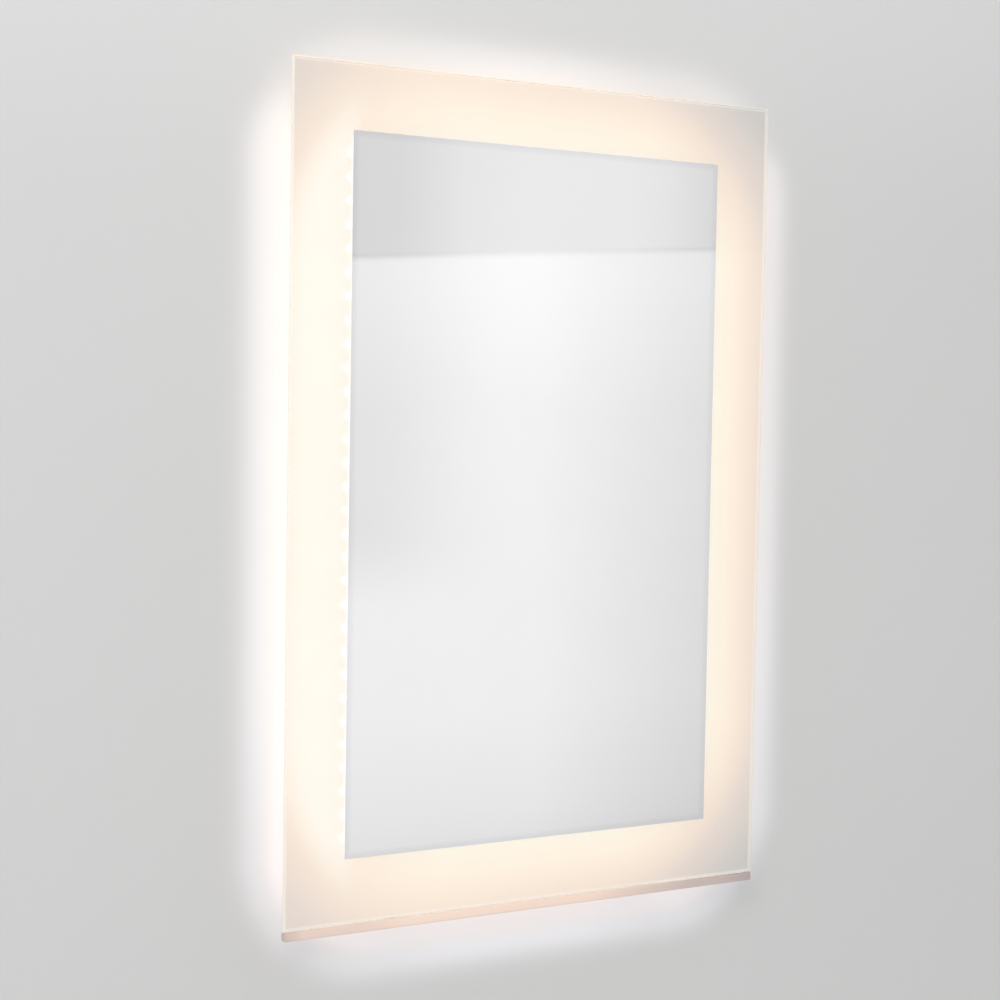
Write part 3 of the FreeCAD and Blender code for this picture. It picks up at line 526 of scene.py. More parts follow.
def braid_finish(colour):
    """A woven strap of tinned copper, with painted shade between its strands and a painted highlight on
    their tops.
    """
    finish, tree, shader = new_finish("copper_braid", colour, {"Metallic": 0.85, "Roughness": 0.4})
    weave_relief_and_shading = larger(*[
        step("ShaderNodeTexWave", {
            "Vector": on_object(tree, scale=(1, 1, turn)), "Scale": 260.0, "Distortion": 0.0,
        }, bands_direction="DIAGONAL").outputs["Fac"]
        for turn in (1, -1)])
    # painted shade and highlight: the colour is darker in the hollows between the strands and lighter on
    # their tops
    feed(shader, Base_Color=varied(weave_relief_and_shading, colour, 0.55, 1.15), Normal=bump(weave_relief_and_shading, 0.6, 0.0003))
    return finish


def from_strip_middle(tree):
    """How far a point lies in front of or behind the middle of the light strips."""
    return math_step("ABSOLUTE", coordinate(tree, "Y", (0, -LIGHT_Y, 0)))


def twin_lead_finish(colour):
    """Soft white insulation over two conductors, with the hollow between them, which is also painted darker
    as painted shade.
    """
    finish, tree, shader = new_finish("twin_lead", colour, {"Roughness": 0.45})
    groove_and_shade = rise(from_strip_middle(tree), 0.0, 0.0006)
    grain = noise(on_object(tree), 900.0)
    feed(shader,
         # painted shade: the insulation is painted darker in the hollow between the conductors
         Base_Color=varied(groove_and_shade, colour, 0.72, 1.0),
         Roughness=evened(grain, 0.38, 0.52),
         Normal=bump(groove_and_shade, 0.7, 0.0004))
    return finish


def circuit_finish(colour):
    """White solder mask with the copper lines just showing through it."""
    finish, tree, shader = new_finish("circuit_white", colour, {"Roughness": 0.35, "Coat Weight": 0.15})
    side = from_strip_middle(tree)
    track = times(spread(side, 0.0026, 0.0028), spread(side, 0.0042, 0.0044, 1.0, 0.0))
    grain = noise(on_object(tree), 1800.0)
    feed(shader,
         Base_Color=varied(track, colour, 1.0, 0.86),
         Roughness=evened(grain, 0.30, 0.42),
         Normal=bump(track, 0.3, 0.00005))
    return finish


def lens_finish(lights):
    """The phosphor lens of a chip, lit."""
    finish, tree, shader = new_finish("chip_lens", lights.phosphor, {
        "Roughness": 0.3, "Emission Strength": lights.strength})
    cloud = evened(noise(on_object(tree), 1500.0))
    feed(shader, Emission_Color=varied(cloud, lights.light, 0.94, 1.0))
    return finish


def rail_finish(rail):
    """Frosted translucent rail with a painted glow: warm where the light strip is behind it, dull at its
    ends, dimmer along its lower edge.
    """
    finish, tree, shader = new_finish("rail_acrylic", rail.body, {
        "Roughness": 0.38, "Emission Strength": 1.0, "Coat Weight": 0.25, "Coat Roughness": 0.12})
    low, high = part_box("bottom_rail")
    glow = light_ramp(spread(coordinate(tree, "X"), low.x, high.x), (
        (0.0, rail.glow_left, 0.45), (0.035, rail.glow_left, 1.0), (0.15, rail.glow_left, 1.08),
        (0.24, rail.glow_middle, 1.0), (0.62, rail.glow_middle, 0.97), (0.85, rail.glow_right, 1.0),
        (0.93, rail.glow_right, 0.75), (1.0, rail.glow_end, 1.0)))
    # painted light: the glow is dimmer along the rail's lowest 4 mm
    upper = rise(coordinate(tree, "Z"), low.z, low.z + 0.004)
    grain = noise(on_object(tree), 1900.0, detail=4.0)
    feed(shader,
         Base_Color=varied(evened(grain), rail.body, 0.97, 1.03),
         Emission_Color=mixed(upper, mixed(0.75, rail.glow_right, glow), glow),
         Normal=bump(grain, 0.1, 0.0001))
    return finish


# ---- shapes

def finished(name, bm, finishes, body, smooth_angle=None):
    """The bmesh as a finished piece, which rides on a body if one is given."""
    mesh = bpy.data.meshes.new(name)
    bm.to_mesh(mesh)
    bm.free()
    for finish in finishes:
        mesh.materials.append(finish)
    if smooth_angle is not None:
        for polygon in mesh.polygons:
            polygon.use_smooth = True
        mesh.set_sharp_from_angle(angle=math.radians(smooth_angle))
    piece = bpy.data.objects.new(name, mesh)
    bpy.context.scene.collection.objects.link(piece)
    if body:
        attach(piece, body)
    return piece


def dress(node, finish):
    """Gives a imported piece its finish."""
    mesh = frame["nodes"][node].data
    mesh.materials.clear()
    mesh.materials.append(finish)


def block(first, second, bevel=0.0, segments=2):
    """A bmesh block between two opposite corners, all its edges bevelled."""
    bm = bmesh.new()
    bmesh.ops.create_cube(bm, size=1.0)
    bmesh.ops.scale(bm, vec=[abs(length) for length in second - first], verts=bm.verts)
    bmesh.ops.translate(bm, vec=(first + second) / 2, verts=bm.verts)
    if bevel:
        bevel_edges(bm, bm.edges[:], bevel, segments)
    return bm


def bevel_edges(bm, edges, width, segments):
    """Bevels edges by a width."""
    bmesh.ops.bevel(bm, geom=edges, offset=width, offset_type="OFFSET", segments=segments, profile=0.5,
                    affect="EDGES", material=-1, clamp_overlap=True)


def lathe(profile, steps):
    """A bmesh turned about Z from radius and height pairs."""
    bm = bmesh.new()
    verts = [bm.verts.new((radius, 0, height)) for radius, height in profile]
    edges = [bm.edges.new(pair) for pair in zip(verts, verts[1:])]
    bmesh.ops.spin(bm, geom=verts + edges, cent=(0, 0, 0), axis=(0, 0, 1), angle=math.tau, steps=steps,
                   use_merge=True)
    bmesh.ops.remove_doubles(bm, verts=bm.verts, dist=1e-7)
    bmesh.ops.recalc_face_normals(bm, faces=bm.faces)
    return bm


def prism(sides, corner, low, high, bevel, segments):
    """A bmesh prism about Z with its upper rim bevelled."""
    bm = bmesh.new()
    bmesh.ops.create_cone(bm, cap_ends=True, cap_tris=False, segments=sides, radius1=corner, radius2=corner,
                          depth=high - low, matrix=Matrix.Translation((0, 0, (low + high) / 2)))
    rim = [edge for edge in bm.edges if all(vert.co.z > high - 1e-7 for vert in edge.verts)]
    bevel_edges(bm, rim, bevel, segments)
    return bm


def ringed_prism(flats, bore, low, high, bevel):
    """A hexagon with a round bore, its rims bevelled."""
    bm = bmesh.new()
    slope = math.cos(math.pi / 6)
    around = 48
    outer = bmesh.ops.create_circle(bm, cap_ends=False, segments=around, radius=flats / slope)["verts"]
    for vert in outer:
        angle = math.atan2(vert.co.y, vert.co.x) % (math.pi / 3) - math.pi / 6
        vert.co *= slope / math.cos(angle)
    bmesh.ops.create_circle(bm, cap_ends=False, segments=around, radius=bore)
    bmesh.ops.bridge_loops(bm, edges=bm.edges[:])
    bmesh.ops.translate(bm, vec=(0, 0, low), verts=bm.verts)
    raised = bmesh.ops.extrude_face_region(bm, geom=bm.faces[:])
    top = [item for item in raised["geom"] if isinstance(item, bmesh.types.BMVert)]
    bmesh.ops.translate(bm, vec=(0, 0, high - low), verts=top)
    bmesh.ops.recalc_face_normals(bm, faces=bm.faces)
    rims = [edge for edge in bm.edges if edge.calc_face_angle(0) > math.radians(80) and keeps(edge, "z")]
    bevel_edges(bm, rims, bevel, 2)
    return bm


def painted(bm, slot):
    """A bmesh with all its faces in one material slot."""
    for face in bm.faces:
        face.material_index = slot
    return bm


def joined(parts):
    """One bmesh from several."""
    whole = bmesh.new()
    mesh = bpy.data.meshes.new("joining")
    for part in parts:
        part.to_mesh(mesh)
        part.free()
        whole.from_mesh(mesh)
    bpy.data.meshes.remove(mesh)
    return whole


def stamped(part, places):
    """One bmesh with a copy of the part at each place."""
    copies = []
    for place in places:
        copy = part.copy()
        copy.transform(place)
        copies.append(copy)
    part.free()
    return joined(copies)


def keeps(edge, axis):
    """Whether an edge keeps its place along an axis."""
    first, second = (getattr(vert.co, axis) for vert in edge.verts)
    return abs(first - second) < TINY


def facing(bm, direction):
    """The largest face of a bmesh that looks in a direction."""
    faces = [face for face in bm.faces if face.normal.dot(direction) > 0.999]
    return max(faces, key=lambda face: face.calc_area())


def inset(bm, face, width, depth=0, even=False):
    """Insets a face by a width, and raises it by a depth: the faces round it."""
    return bmesh.ops.inset_individual(bm, faces=[face], thickness=width, depth=depth,
                                      use_even_offset=even)["faces"]


def looking(direction):
    """The turn that takes +Z to a direction."""
    return direction.to_track_quat("Z", "Y").to_matrix().to_4x4()


def to_side(side):
    """The turn about the mirror's centre that takes the left side to another."""
    turn = Matrix.Rotation(math.radians(90 * SIDES.index(side)), 4, "Y")
    return Matrix.Translation(CENTRE) @ turn @ Matrix.Translation(-CENTRE)


def middle_of(box):
    """The middle of a box."""
    return (box[0] + box[1]) / 2


def chip_middles(side):
    """The middles of a side's chips, turned to the left side."""
    back = to_side(side).inverted()
    return [back @ middle_of(box) for box in solids_of("light_chips_" + side)]


def solids_of(node):
    """The boxes of a node's separate solids, from left to right."""
    bm = bmesh.new()
    bm.from_mesh(frame["nodes"][node].data)
    bmesh.ops.remove_doubles(bm, verts=bm.verts, dist=TINY)
    unseen = set(bm.verts)
    boxes = []
    while unseen:
        found = [unseen.pop()]
        for vert in found:
            near = {edge.other_vert(vert) for edge in vert.link_edges} & unseen
            unseen -= near
            found.extend(near)
        points = [vert.co for vert in found]
        low = Vector(min(point[axis] for point in points) for axis in range(3))
        high = Vector(max(point[axis] for point in points) for axis in range(3))
        boxes.append((low, high))
    bm.free()
    return sorted(boxes, key=lambda box: (box[0].x, box[0].z))


def bore_of(mount):
    """The radius of a bore mount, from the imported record."""
    for entry in frame["record"]["mounts"]:
        if entry.get("name") == mount:
            return entry["dims"]["r_mm"] / 1000
    raise ValueError("the record has no mount " + mount)


# ---- pieces

class Undoable:
    """What every operator of the mirror has."""
    bl_options = {"REGISTER", "UNDO"}


class MIRROR_OT_glass_panel(Undoable, Operator):
    """Makes the glass panel with its ground edge, frosted border and silvered middle"""
    bl_idname = "lighted_mirror.glass_panel"
    bl_label = "Glass panel"

    def execute(self, context):
        glass = settings_of(context).glass
        bm = block(GLASS_LOW, GLASS_HIGH)
        bevel_edges(bm, [edge for edge in bm.edges if keeps(edge, "y")], glass.arris, 1)
        painted(bm, 1)
        facing(bm, TOWARDS_ROOM).material_index = 0
        back = facing(bm, TOWARDS_WALL)
        for face in inset(bm, back, BORDER - glass.arris, even=True):
            face.material_index = 2
        bmesh.ops.translate(bm, vec=(0, -glass.silver_relief, 0), verts=back.verts)
        back.material_index = 3
        piece = finished("glass_panel", bm, (
            clear_glass_finish(glass.clear_tint),
            ground_edge_finish(glass),
            frosted_finish(glass),
            silvering_finish(glass),
        ), MIRROR)
        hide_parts("front_glass")
        dress("silver_coating", bpy.data.materials["silvering"])
        return {"FINISHED"}


class MIRROR_OT_bottom_rail(Undoable, Operator):
    """Makes the translucent rail below the glass"""
    bl_idname = "lighted_mirror.bottom_rail"
    bl_label = "Bottom rail"

    def execute(self, context):
        rail = settings_of(context).rail
        low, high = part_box("bottom_rail")
        bm = block(low, high)
        ends = [edge for edge in bm.edges
                if all(vert.co.z < low.z + TINY for vert in edge.verts) and keeps(edge, "x")]
        bevel_edges(bm, ends, rail.end_radius, 8)
        sharp = [edge for edge in bm.edges if edge.calc_face_angle(0) > math.radians(40)]
        bevel_edges(bm, sharp, rail.bevel, 3)
        piece = finished("frosted_rail", bm, (rail_finish(rail),), MIRROR, 35)
        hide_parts("bottom_rail")
        return {"FINISHED"}


class MIRROR_OT_light_chips(Undoable, Operator):
    """Makes the rows of light chips, with their lenses and solder, on the four strips"""
    bl_idname = "lighted_mirror.light_chips"
    bl_label = "Light chips"

    def chip(self, size, lights):
        """One chip on the left side, standing at the origin and looking along -X."""
        half = Vector((0, size.y / 2, size.z / 2))
        housing = block(Vector((-size.x, -half.y, -half.z)), half, lights.chip_bevel, 1)
        lens = facing(housing, Vector((-1, 0, 0)))
        inset(housing, lens, lights.lens_inset, -lights.lens_depth)
        lens.material_index = 1
        solder = []
        for end in (-1, 1):
            near = Vector((-size.x * 0.25, -size.y * 0.38, end * size.z * 0.47))
            far = Vector((0, size.y * 0.38, end * size.z * 0.56))
            solder.append(painted(block(near, far, size.x * 0.1, 1), 2))
        return joined([housing, *solder])

    def execute(self, context):
        lights = settings_of(context).lights
        finishes = (
            speckled("chip_housing", lights.housing, 1200.0, 0.05, 0.0001, 0.4),
            lens_finish(lights),
            speckled("solder", lights.solder, 2500.0, 0.2, 0.0001, 0.3, metallic=1.0),
        )
        low, high = solids_of("light_chips_left")[0]
        for side in SIDES:
            places = [to_side(side) @ Matrix.Translation((STRIP_LOW.x, middle.y, middle.z))
                      for middle in chip_middles(side)]
            bm = stamped(self.chip(high - low, lights), places)
            piece = finished("chip_row_" + side, bm, finishes, MIRROR)
            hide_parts("light_chips_" + side)
        return {"FINISHED"}


class MIRROR_OT_strip_parts(Undoable, Operator):
    """Puts the resistors and the copper cutting pads on the four light strips"""
    bl_idname = "lighted_mirror.strip_parts"
    bl_label = "Strip parts"

    RESISTOR_AT = 0.0022
    PAD_AT = Vector((-0.00002, 0.0031, 0.0013))
    PAD_HALF = Vector((0.00002, 0.0010, 0.0009))

    def resistor(self):
        """One resistor on the left side, standing at the origin, with its tinned ends."""
        bevel = 0.00008
        parts = [block(Vector((-0.00045, -0.0008, -0.0011)), Vector((0, 0.0008, 0.0011)), bevel, 1)]
        for end in (-1, 1):
            near = Vector((-0.00050, -0.00085, end * 0.0011))
            far = Vector((0, 0.00085, end * 0.0016))
            parts.append(painted(block(near, far, bevel, 1), 1))
        return joined(parts)

    def pads(self):
        """The four copper pads of a cut line."""
        parts = []
        for across in (-1, 1):
            for end in (-1, 1):
                middle = self.PAD_AT * Vector((1, across, end))
                parts.append(block(middle - self.PAD_HALF, middle + self.PAD_HALF, 0.000005, 1))
        return painted(joined(parts), 2)

    def execute(self, context):
        lights = settings_of(context).lights
        finishes = (
            speckled("resistor_body", lights.resistor, 1500.0, 0.1, 0.0001, 0.35),
            speckled("tinned_end", lights.tin, 2500.0, 0.2, 0.0001, 0.28, metallic=1.0),
            speckled("copper_pad", lights.copper, 2500.0, 0.2, 0.0001, 0.3, metallic=1.0),
        )
        for side in SIDES:
            rows = sorted(middle.z for middle in chip_middles(side))
            resistor_places, pad_places = [], []
            for index, (first, second) in enumerate(zip(rows, rows[1:])):
                z = (first + second) / 2
                from_cut = index % lights.chips_per_cut
                if from_cut == 0:
                    resistor_places.append((STRIP_LOW.x, LIGHT_Y + self.RESISTOR_AT, z))
                if from_cut == lights.chips_per_cut - 1:
                    pad_places.append((STRIP_LOW.x, LIGHT_Y, z))
            bm = joined([
                stamped(part, [to_side(side) @ Matrix.Translation(place) for place in places])
                for part, places in ((self.resistor(), resistor_places), (self.pads(), pad_places))])
            piece = finished("strip_parts_" + side, bm, finishes, MIRROR)
        return {"FINISHED"}


class MIRROR_OT_screws(Undoable, Operator):
    """Makes every group of screws: washer head, hexagon with a dimple, and threaded shank"""
    bl_idname = "lighted_mirror.screws"
    bl_label = "Screws"

    GROUPS = ("cleat_screws", "panel_screws", "bracket_screws", "rail_screws", "driver_screws",
              "cover_screws", "earth_screw")
    SHANK, THICK_SHANK, THREAD_ROOT = 0.47, 0.62, 0.82

    def screw(self, head_radius, shank_radius, length, hardware):
        """One screw about Z: its seat is at the origin and its head stands upwards."""
        top, flange, pitch = hardware.head_height, hardware.flange_height, hardware.thread_pitch
        washer = lathe([
            (0, 0), (head_radius * 1.08, 0), (head_radius * 1.10, flange * 0.5),
            (head_radius * 0.98, flange), (0, flange)], 24)
        hexagon = prism(6, head_radius * 0.98, flange * 0.6, top, head_radius * 0.07, 2)
        inset(hexagon, facing(hexagon, UP), head_radius * 0.22, -top * 0.16)
        root = shank_radius * self.THREAD_ROOT
        thread = [(0, -length), (root * 0.5, -length), (root, -length + shank_radius * 0.6)]
        height = thread[-1][1]
        while height + pitch < 0:
            thread += [(shank_radius, height + pitch * 0.5), (root, height + pitch)]
            height += pitch
        thread += [(root, 0.0001), (0, 0.0001)]
        return joined([washer, hexagon, lathe(thread, 14)])

    def execute(self, context):
        hardware = settings_of(context).hardware
        finish = speckled("screw_zinc", hardware.bright_zinc, 700.0, 0.06, 0.0002, 0.28, metallic=1.0)
        for group in self.GROUPS:
            outward = TOWARDS_ROOM if group == "earth_screw" else TOWARDS_WALL
            places = []
            for low, high in solids_of(group):
                head_radius = (high.x - low.x) / 2
                length = high.y - low.y - hardware.head_height
                seat = middle_of((low, high))
                seat.y = (high.y if outward.y > 0 else low.y) - outward.y * hardware.head_height
                places.append(Matrix.Translation(seat) @ looking(outward))
            shank_radius = head_radius * (self.THICK_SHANK if group == "rail_screws" else self.SHANK)
            bm = stamped(self.screw(head_radius, shank_radius, length, hardware), places)
            piece = finished("turned_" + group, bm, (finish,), MIRROR, 30)
            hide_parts(group)
        return {"FINISHED"}


class MIRROR_OT_wall_bumpers(Undoable, Operator):
    """Makes the moulded rubber bumpers on the lower back"""
    bl_idname = "lighted_mirror.wall_bumpers"
    bl_label = "Wall bumpers"

    FOOT_SHARE = 0.3
    PAD_MARGIN = Vector((0.0016, 0, 0.0016))
    RIM_WIDTH, DISH_SLOPE, DISH_DEPTH = 0.0028, 0.0006, 0.0009

    def execute(self, context):
        hardware = settings_of(context).hardware
        finish = speckled("bumper_rubber", hardware.rubber, 900.0, 0.25, 0.0002, 0.75)
        for side in ("left", "right"):
            node = "wall_bumper_" + side
            low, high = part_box(node)
            foot_high = Vector((high.x, low.y + (high.y - low.y) * self.FOOT_SHARE, high.z))
            foot = block(low, foot_high, hardware.bumper_bevel * 0.4, 2)
            pad = block(low + self.PAD_MARGIN, high - self.PAD_MARGIN, hardware.bumper_bevel, 4)
            face = facing(pad, TOWARDS_WALL)
            inset(pad, face, self.RIM_WIDTH)
            inset(pad, face, self.DISH_SLOPE, -self.DISH_DEPTH)
            piece = finished("moulded_" + node, joined([foot, pad]), (finish,), MIRROR, 40)
            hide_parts(node)
        return {"FINISHED"}


class MIRROR_OT_cable_gland(Undoable, Operator):
    """Makes the cable gland in the back panel, with its rubber seal, and its nut"""
    bl_idname = "lighted_mirror.cable_gland"
    bl_label = "Cable gland"

    AROUND = 48
    NECK_WALL = 0.003
    THREAD_PITCH, THREAD_DEPTH, LEAD_IN = 0.0010, 0.0004, 0.0006
    COLLAR_GAP, SEAL_WALL = 0.0010, 0.0014

    def execute(self, context):
        hardware = settings_of(context).hardware
        nylon = speckled("gland_nylon", hardware.nylon, 1300.0, 0.12, 0.0001, 0.42)
        rubber = speckled("gland_seal", shade(hardware.rubber, 1.6), 1500.0, 0.2, 0.0001, 0.8)
        low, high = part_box("supply_gland")
        nut_low, nut_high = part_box("gland_nut")
        panel_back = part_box("back_panel")[1].y
        seat = middle_of((low, high))
        seat.y = panel_back
        flats = (high.x - low.x) / 2
        neck = flats - self.NECK_WALL
        root = neck - self.THREAD_DEPTH
        bore = bore_of("supply_cable")
        collar_in, seal_out = bore + self.COLLAR_GAP, bore + self.SEAL_WALL
        top = high.y - panel_back
        reach = panel_back - low.y
        hexagon = ringed_prism(flats, bore + 0.0012, 0.0, top * 0.72, 0.0008)
        collar = lathe([
            (collar_in, 0.0), (flats * 0.86, top * 0.5), (flats * 0.86, top * 0.80),
            (flats * 0.74, top * 0.97), (bore + 0.0018, top), (collar_in, top * 0.9), (collar_in, 0.0),
        ], self.AROUND)
        seal = lathe([
            (bore, 0.0), (seal_out, 0.0), (seal_out, top * 0.82),
            (bore + 0.0004, top * 0.90), (bore, top * 0.80), (bore, 0.0)], self.AROUND)
        thread = [(bore, 0.0), (bore, -reach), (neck - self.LEAD_IN, -reach)]
        height = -reach + self.THREAD_DEPTH
        while height < -self.THREAD_PITCH / 2:
            thread += [(root, height), (neck, height + self.THREAD_PITCH / 2)]
            height += self.THREAD_PITCH
        thread += [(root, 0.0), (bore, 0.0)]
        body = joined([hexagon, collar, painted(seal, 1), lathe(thread, self.AROUND)])
        body.transform(Matrix.Translation(seat) @ looking(TOWARDS_WALL))
        piece = finished("threaded_supply_gland", body, (nylon, rubber), MIRROR, 30)
        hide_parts("supply_gland")
        nut = ringed_prism(flats, neck + 0.0001, panel_back - nut_high.y, panel_back - nut_low.y, 0.0006)
        nut.transform(Matrix.Translation(seat) @ looking(TOWARDS_ROOM))
        nut_piece = finished("bevelled_gland_nut", nut, (nylon,), MIRROR, 30)
        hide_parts("gland_nut")
        return {"FINISHED"}


class MIRROR_OT_packed_finishes(Undoable, Operator):
    """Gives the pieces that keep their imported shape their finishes"""
    bl_idname = "lighted_mirror.packed_finishes"
    bl_label = "Packed finishes"

    def execute(self, context):
        settings = settings_of(context)
        colours = settings.finishes
        # colour, scale of the grain, relief, depth, roughness and variation
        grains = {
            "frame_powder_coat": (colours.powder_coat, 650.0, 0.16, 0.0003, 0.42, 0.02),
            "panel_paint": (colours.panel_paint, 520.0, 0.18, 0.0003, 0.5, 0.02),
            "backing_film": (colours.film, 380.0, 0.1, 0.0002, 0.65, 0.05),
            "foam": (colours.foam, 1600.0, 0.7, 0.0004, 0.9, 0.08),
            "driver_moulding": (colours.moulding, 1100.0, 0.15, 0.0002, 0.5, 0.02),
            "block_polyamide": (shade(colours.moulding, 0.92), 1500.0, 0.1, 0.0001, 0.45, 0.02),
            "lead_insulation": (colours.insulation, 900.0, 0.1, 0.0002, 0.45, 0.02),
        }
        made = {name: speckled(name, *values) for name, values in grains.items()}
        corners = [f"corner_key_{row}_{side}" for row in ("top", "bottom") for side in ("left", "right")]
        dressed = (
            (made["frame_powder_coat"], ["frame_channel_" + side for side in SIDES]),
            (made["foam"], ["foam_tape_" + side for side in SIDES]),
            (made["panel_paint"], ["back_panel"]),
            (made["backing_film"], ["backing_film"]),
            (made["driver_moulding"], ["driver_case", "driver_cover", "lead_clips"]),
            (made["block_polyamide"], ["terminal_block"]),
            (made["lead_insulation"], ["input_leads"]),
            (zinc_finish(settings.hardware.zinc), [
                "wall_cleat", "hanging_cleat", "rail_bracket_left", "rail_bracket_right", "wiring_cover",
                *corners]),
            (circuit_finish(settings.lights.mask), ["light_strip_" + side for side in SIDES]),
            (twin_lead_finish(colours.insulation), ["corner_jumpers", "output_lead"]),
            (braid_finish(colours.copper), ["earth_strap"]),
        )
        for finish, nodes in dressed:
            for node in nodes:
                dress(node, finish)
        return {"FINISHED"}


# ---- stage

def wall_finish(stage):
    """A plain wall, painted paler towards the top as painted light, with the halo of the strips, which can
    be looked through from behind.
    """
    painted_light_from, painted_light_to = -0.05, 0.30
    least_fade, middle, low_part = 0.22, 0.05, 0.30
    far_from, far_to = 0.55, 0.70
    finish, tree, shader = new_finish("wall_paint", stage.wall, {
        "Roughness": 0.9, "Specular IOR Level": 0.0})
    half = FRAME_HALF - Vector((stage.halo_right, 0, 0))
    shift = Vector((stage.halo_right, 0, -stage.halo_down))
    reach = spread(distance_outside(tree, half, stage.halo_rounding, shift), 0.0, stage.halo_reach)
    halo = light_ramp(reach, (
        (0.0, stage.halo, 1.6), (0.46, stage.halo, 1.03), (0.54, stage.halo, 1.0),
        (0.62, stage.halo, 0.80), (0.69, stage.halo_far, 1.20), (0.77, stage.halo_far, 0.72),
        (0.84, stage.halo_far, 0.24), (0.91, stage.halo_far, 0.03), (1.0, stage.halo_far, 0.0)),
        between="B_SPLINE")
    point = on_object(tree)
    x, z = axis_of(point, "X"), axis_of(point, "Z")
    height = spread(z, GLASS_LOW.z, GLASS_HIGH.z)
    halo = mixed(1.0, halo, mixed(height, stage.halo_below, stage.halo_above), blend="MULTIPLY")
    # painted light: the wall's colour is painted paler towards the top
    level = varied(rise(z, painted_light_from, painted_light_to), stage.wall, 1.0, 1.06)
    plaster = evened(noise(point, 2.2, detail=1.0), 0.0, 0.03)
    behind_panel = fade(distance_inside(tree, FRAME_HALF), 0.0, stage.halo_edge)
    from_middle = math_step("ABSOLUTE", x)
    aside = rise(from_middle, 0.0, FRAME_HALF.x, least_fade, stage.halo_fade)
    kept_above = unless(aside, rise(z, SILVER_HIGH.z, GLASS_HIGH.z))
    outward = rise(from_middle, middle, FRAME_HALF.x)
    low_down = fade(z, GLASS_LOW.z, GLASS_LOW.z + low_part, stage.halo_low_fade)
    kept_below = unless(outward, times(low_down, rise(reach, far_from, far_to)))
    path = add_node(tree, "ShaderNodeLightPath").outputs
    bounce = spread(path["Is Diffuse Ray"], 0.0, 1.0, 1.0, stage.halo_bounce)
    feed(shader,
         Emission_Color=halo,
         Emission_Strength=times(behind_panel, times(kept_above, kept_below), bounce),
         Base_Color=mixed(plaster, level, shade(stage.wall, 0.5)))
    open_way = larger(add_node(tree, "ShaderNodeNewGeometry").outputs["Backfacing"], path["Is Shadow Ray"])
    clear = add_node(tree, "ShaderNodeBsdfTransparent")
    mix = step("ShaderNodeMixShader", {
        "Fac": open_way, 1: shader.outputs["BSDF"], 2: clear.outputs["BSDF"]})
    output = next(node for node in tree.nodes if node.type == "OUTPUT_MATERIAL")
    tree.links.new(mix.outputs["Shader"], output.inputs["Surface"])
    return finish


def flat_finish():
    """The pale flat across the room that the mirror shows, the room's light and shade painted on it:
    lighter below a level edge, greyer above it.
    """
    finish, tree, shader = new_finish("room_flat", (0, 0, 0), {"Roughness": 1.0, "Specular IOR Level": 0.0})
    left, right = 1.36, 2.74
    edge_low, edge_high, edge_slope = 0.110, 0.140, -0.0735
    x, z = coordinate(tree, "X"), coordinate(tree, "Z")
    lower = grey_ramp(spread(z, -1.65, 0.60), (
        (0.0, 0.82), (0.05, 0.87), (0.20, 0.94), (0.45, 0.965), (0.62, 0.98), (0.74, 1.03), (0.82, 1.06)))
    upper = grey_ramp(spread(x, left, right), (
        (0.0, 0.75), (0.12, 0.765), (0.29, 0.88), (0.45, 0.91), (0.72, 0.90), (0.85, 0.86), (1.0, 0.75)))
    left_end, right_start, right_end = 1.95, 2.05, 2.75
    # painted shade: below the level edge the flat is dimmer towards its left and right ends
    from_left = unless(fade(x, left, left_end, 0.13), rise(z, -0.90, -0.60))
    from_right = spread(x, right_start, right_end, 1.0, 0.82)
    above = rise(math_step("ADD", z, times(x, edge_slope)), edge_low, edge_high)
    feed(shader,
         Emission_Color=mixed(above, lower, upper),
         Emission_Strength=larger(times(from_left, from_right), above))
    return finish


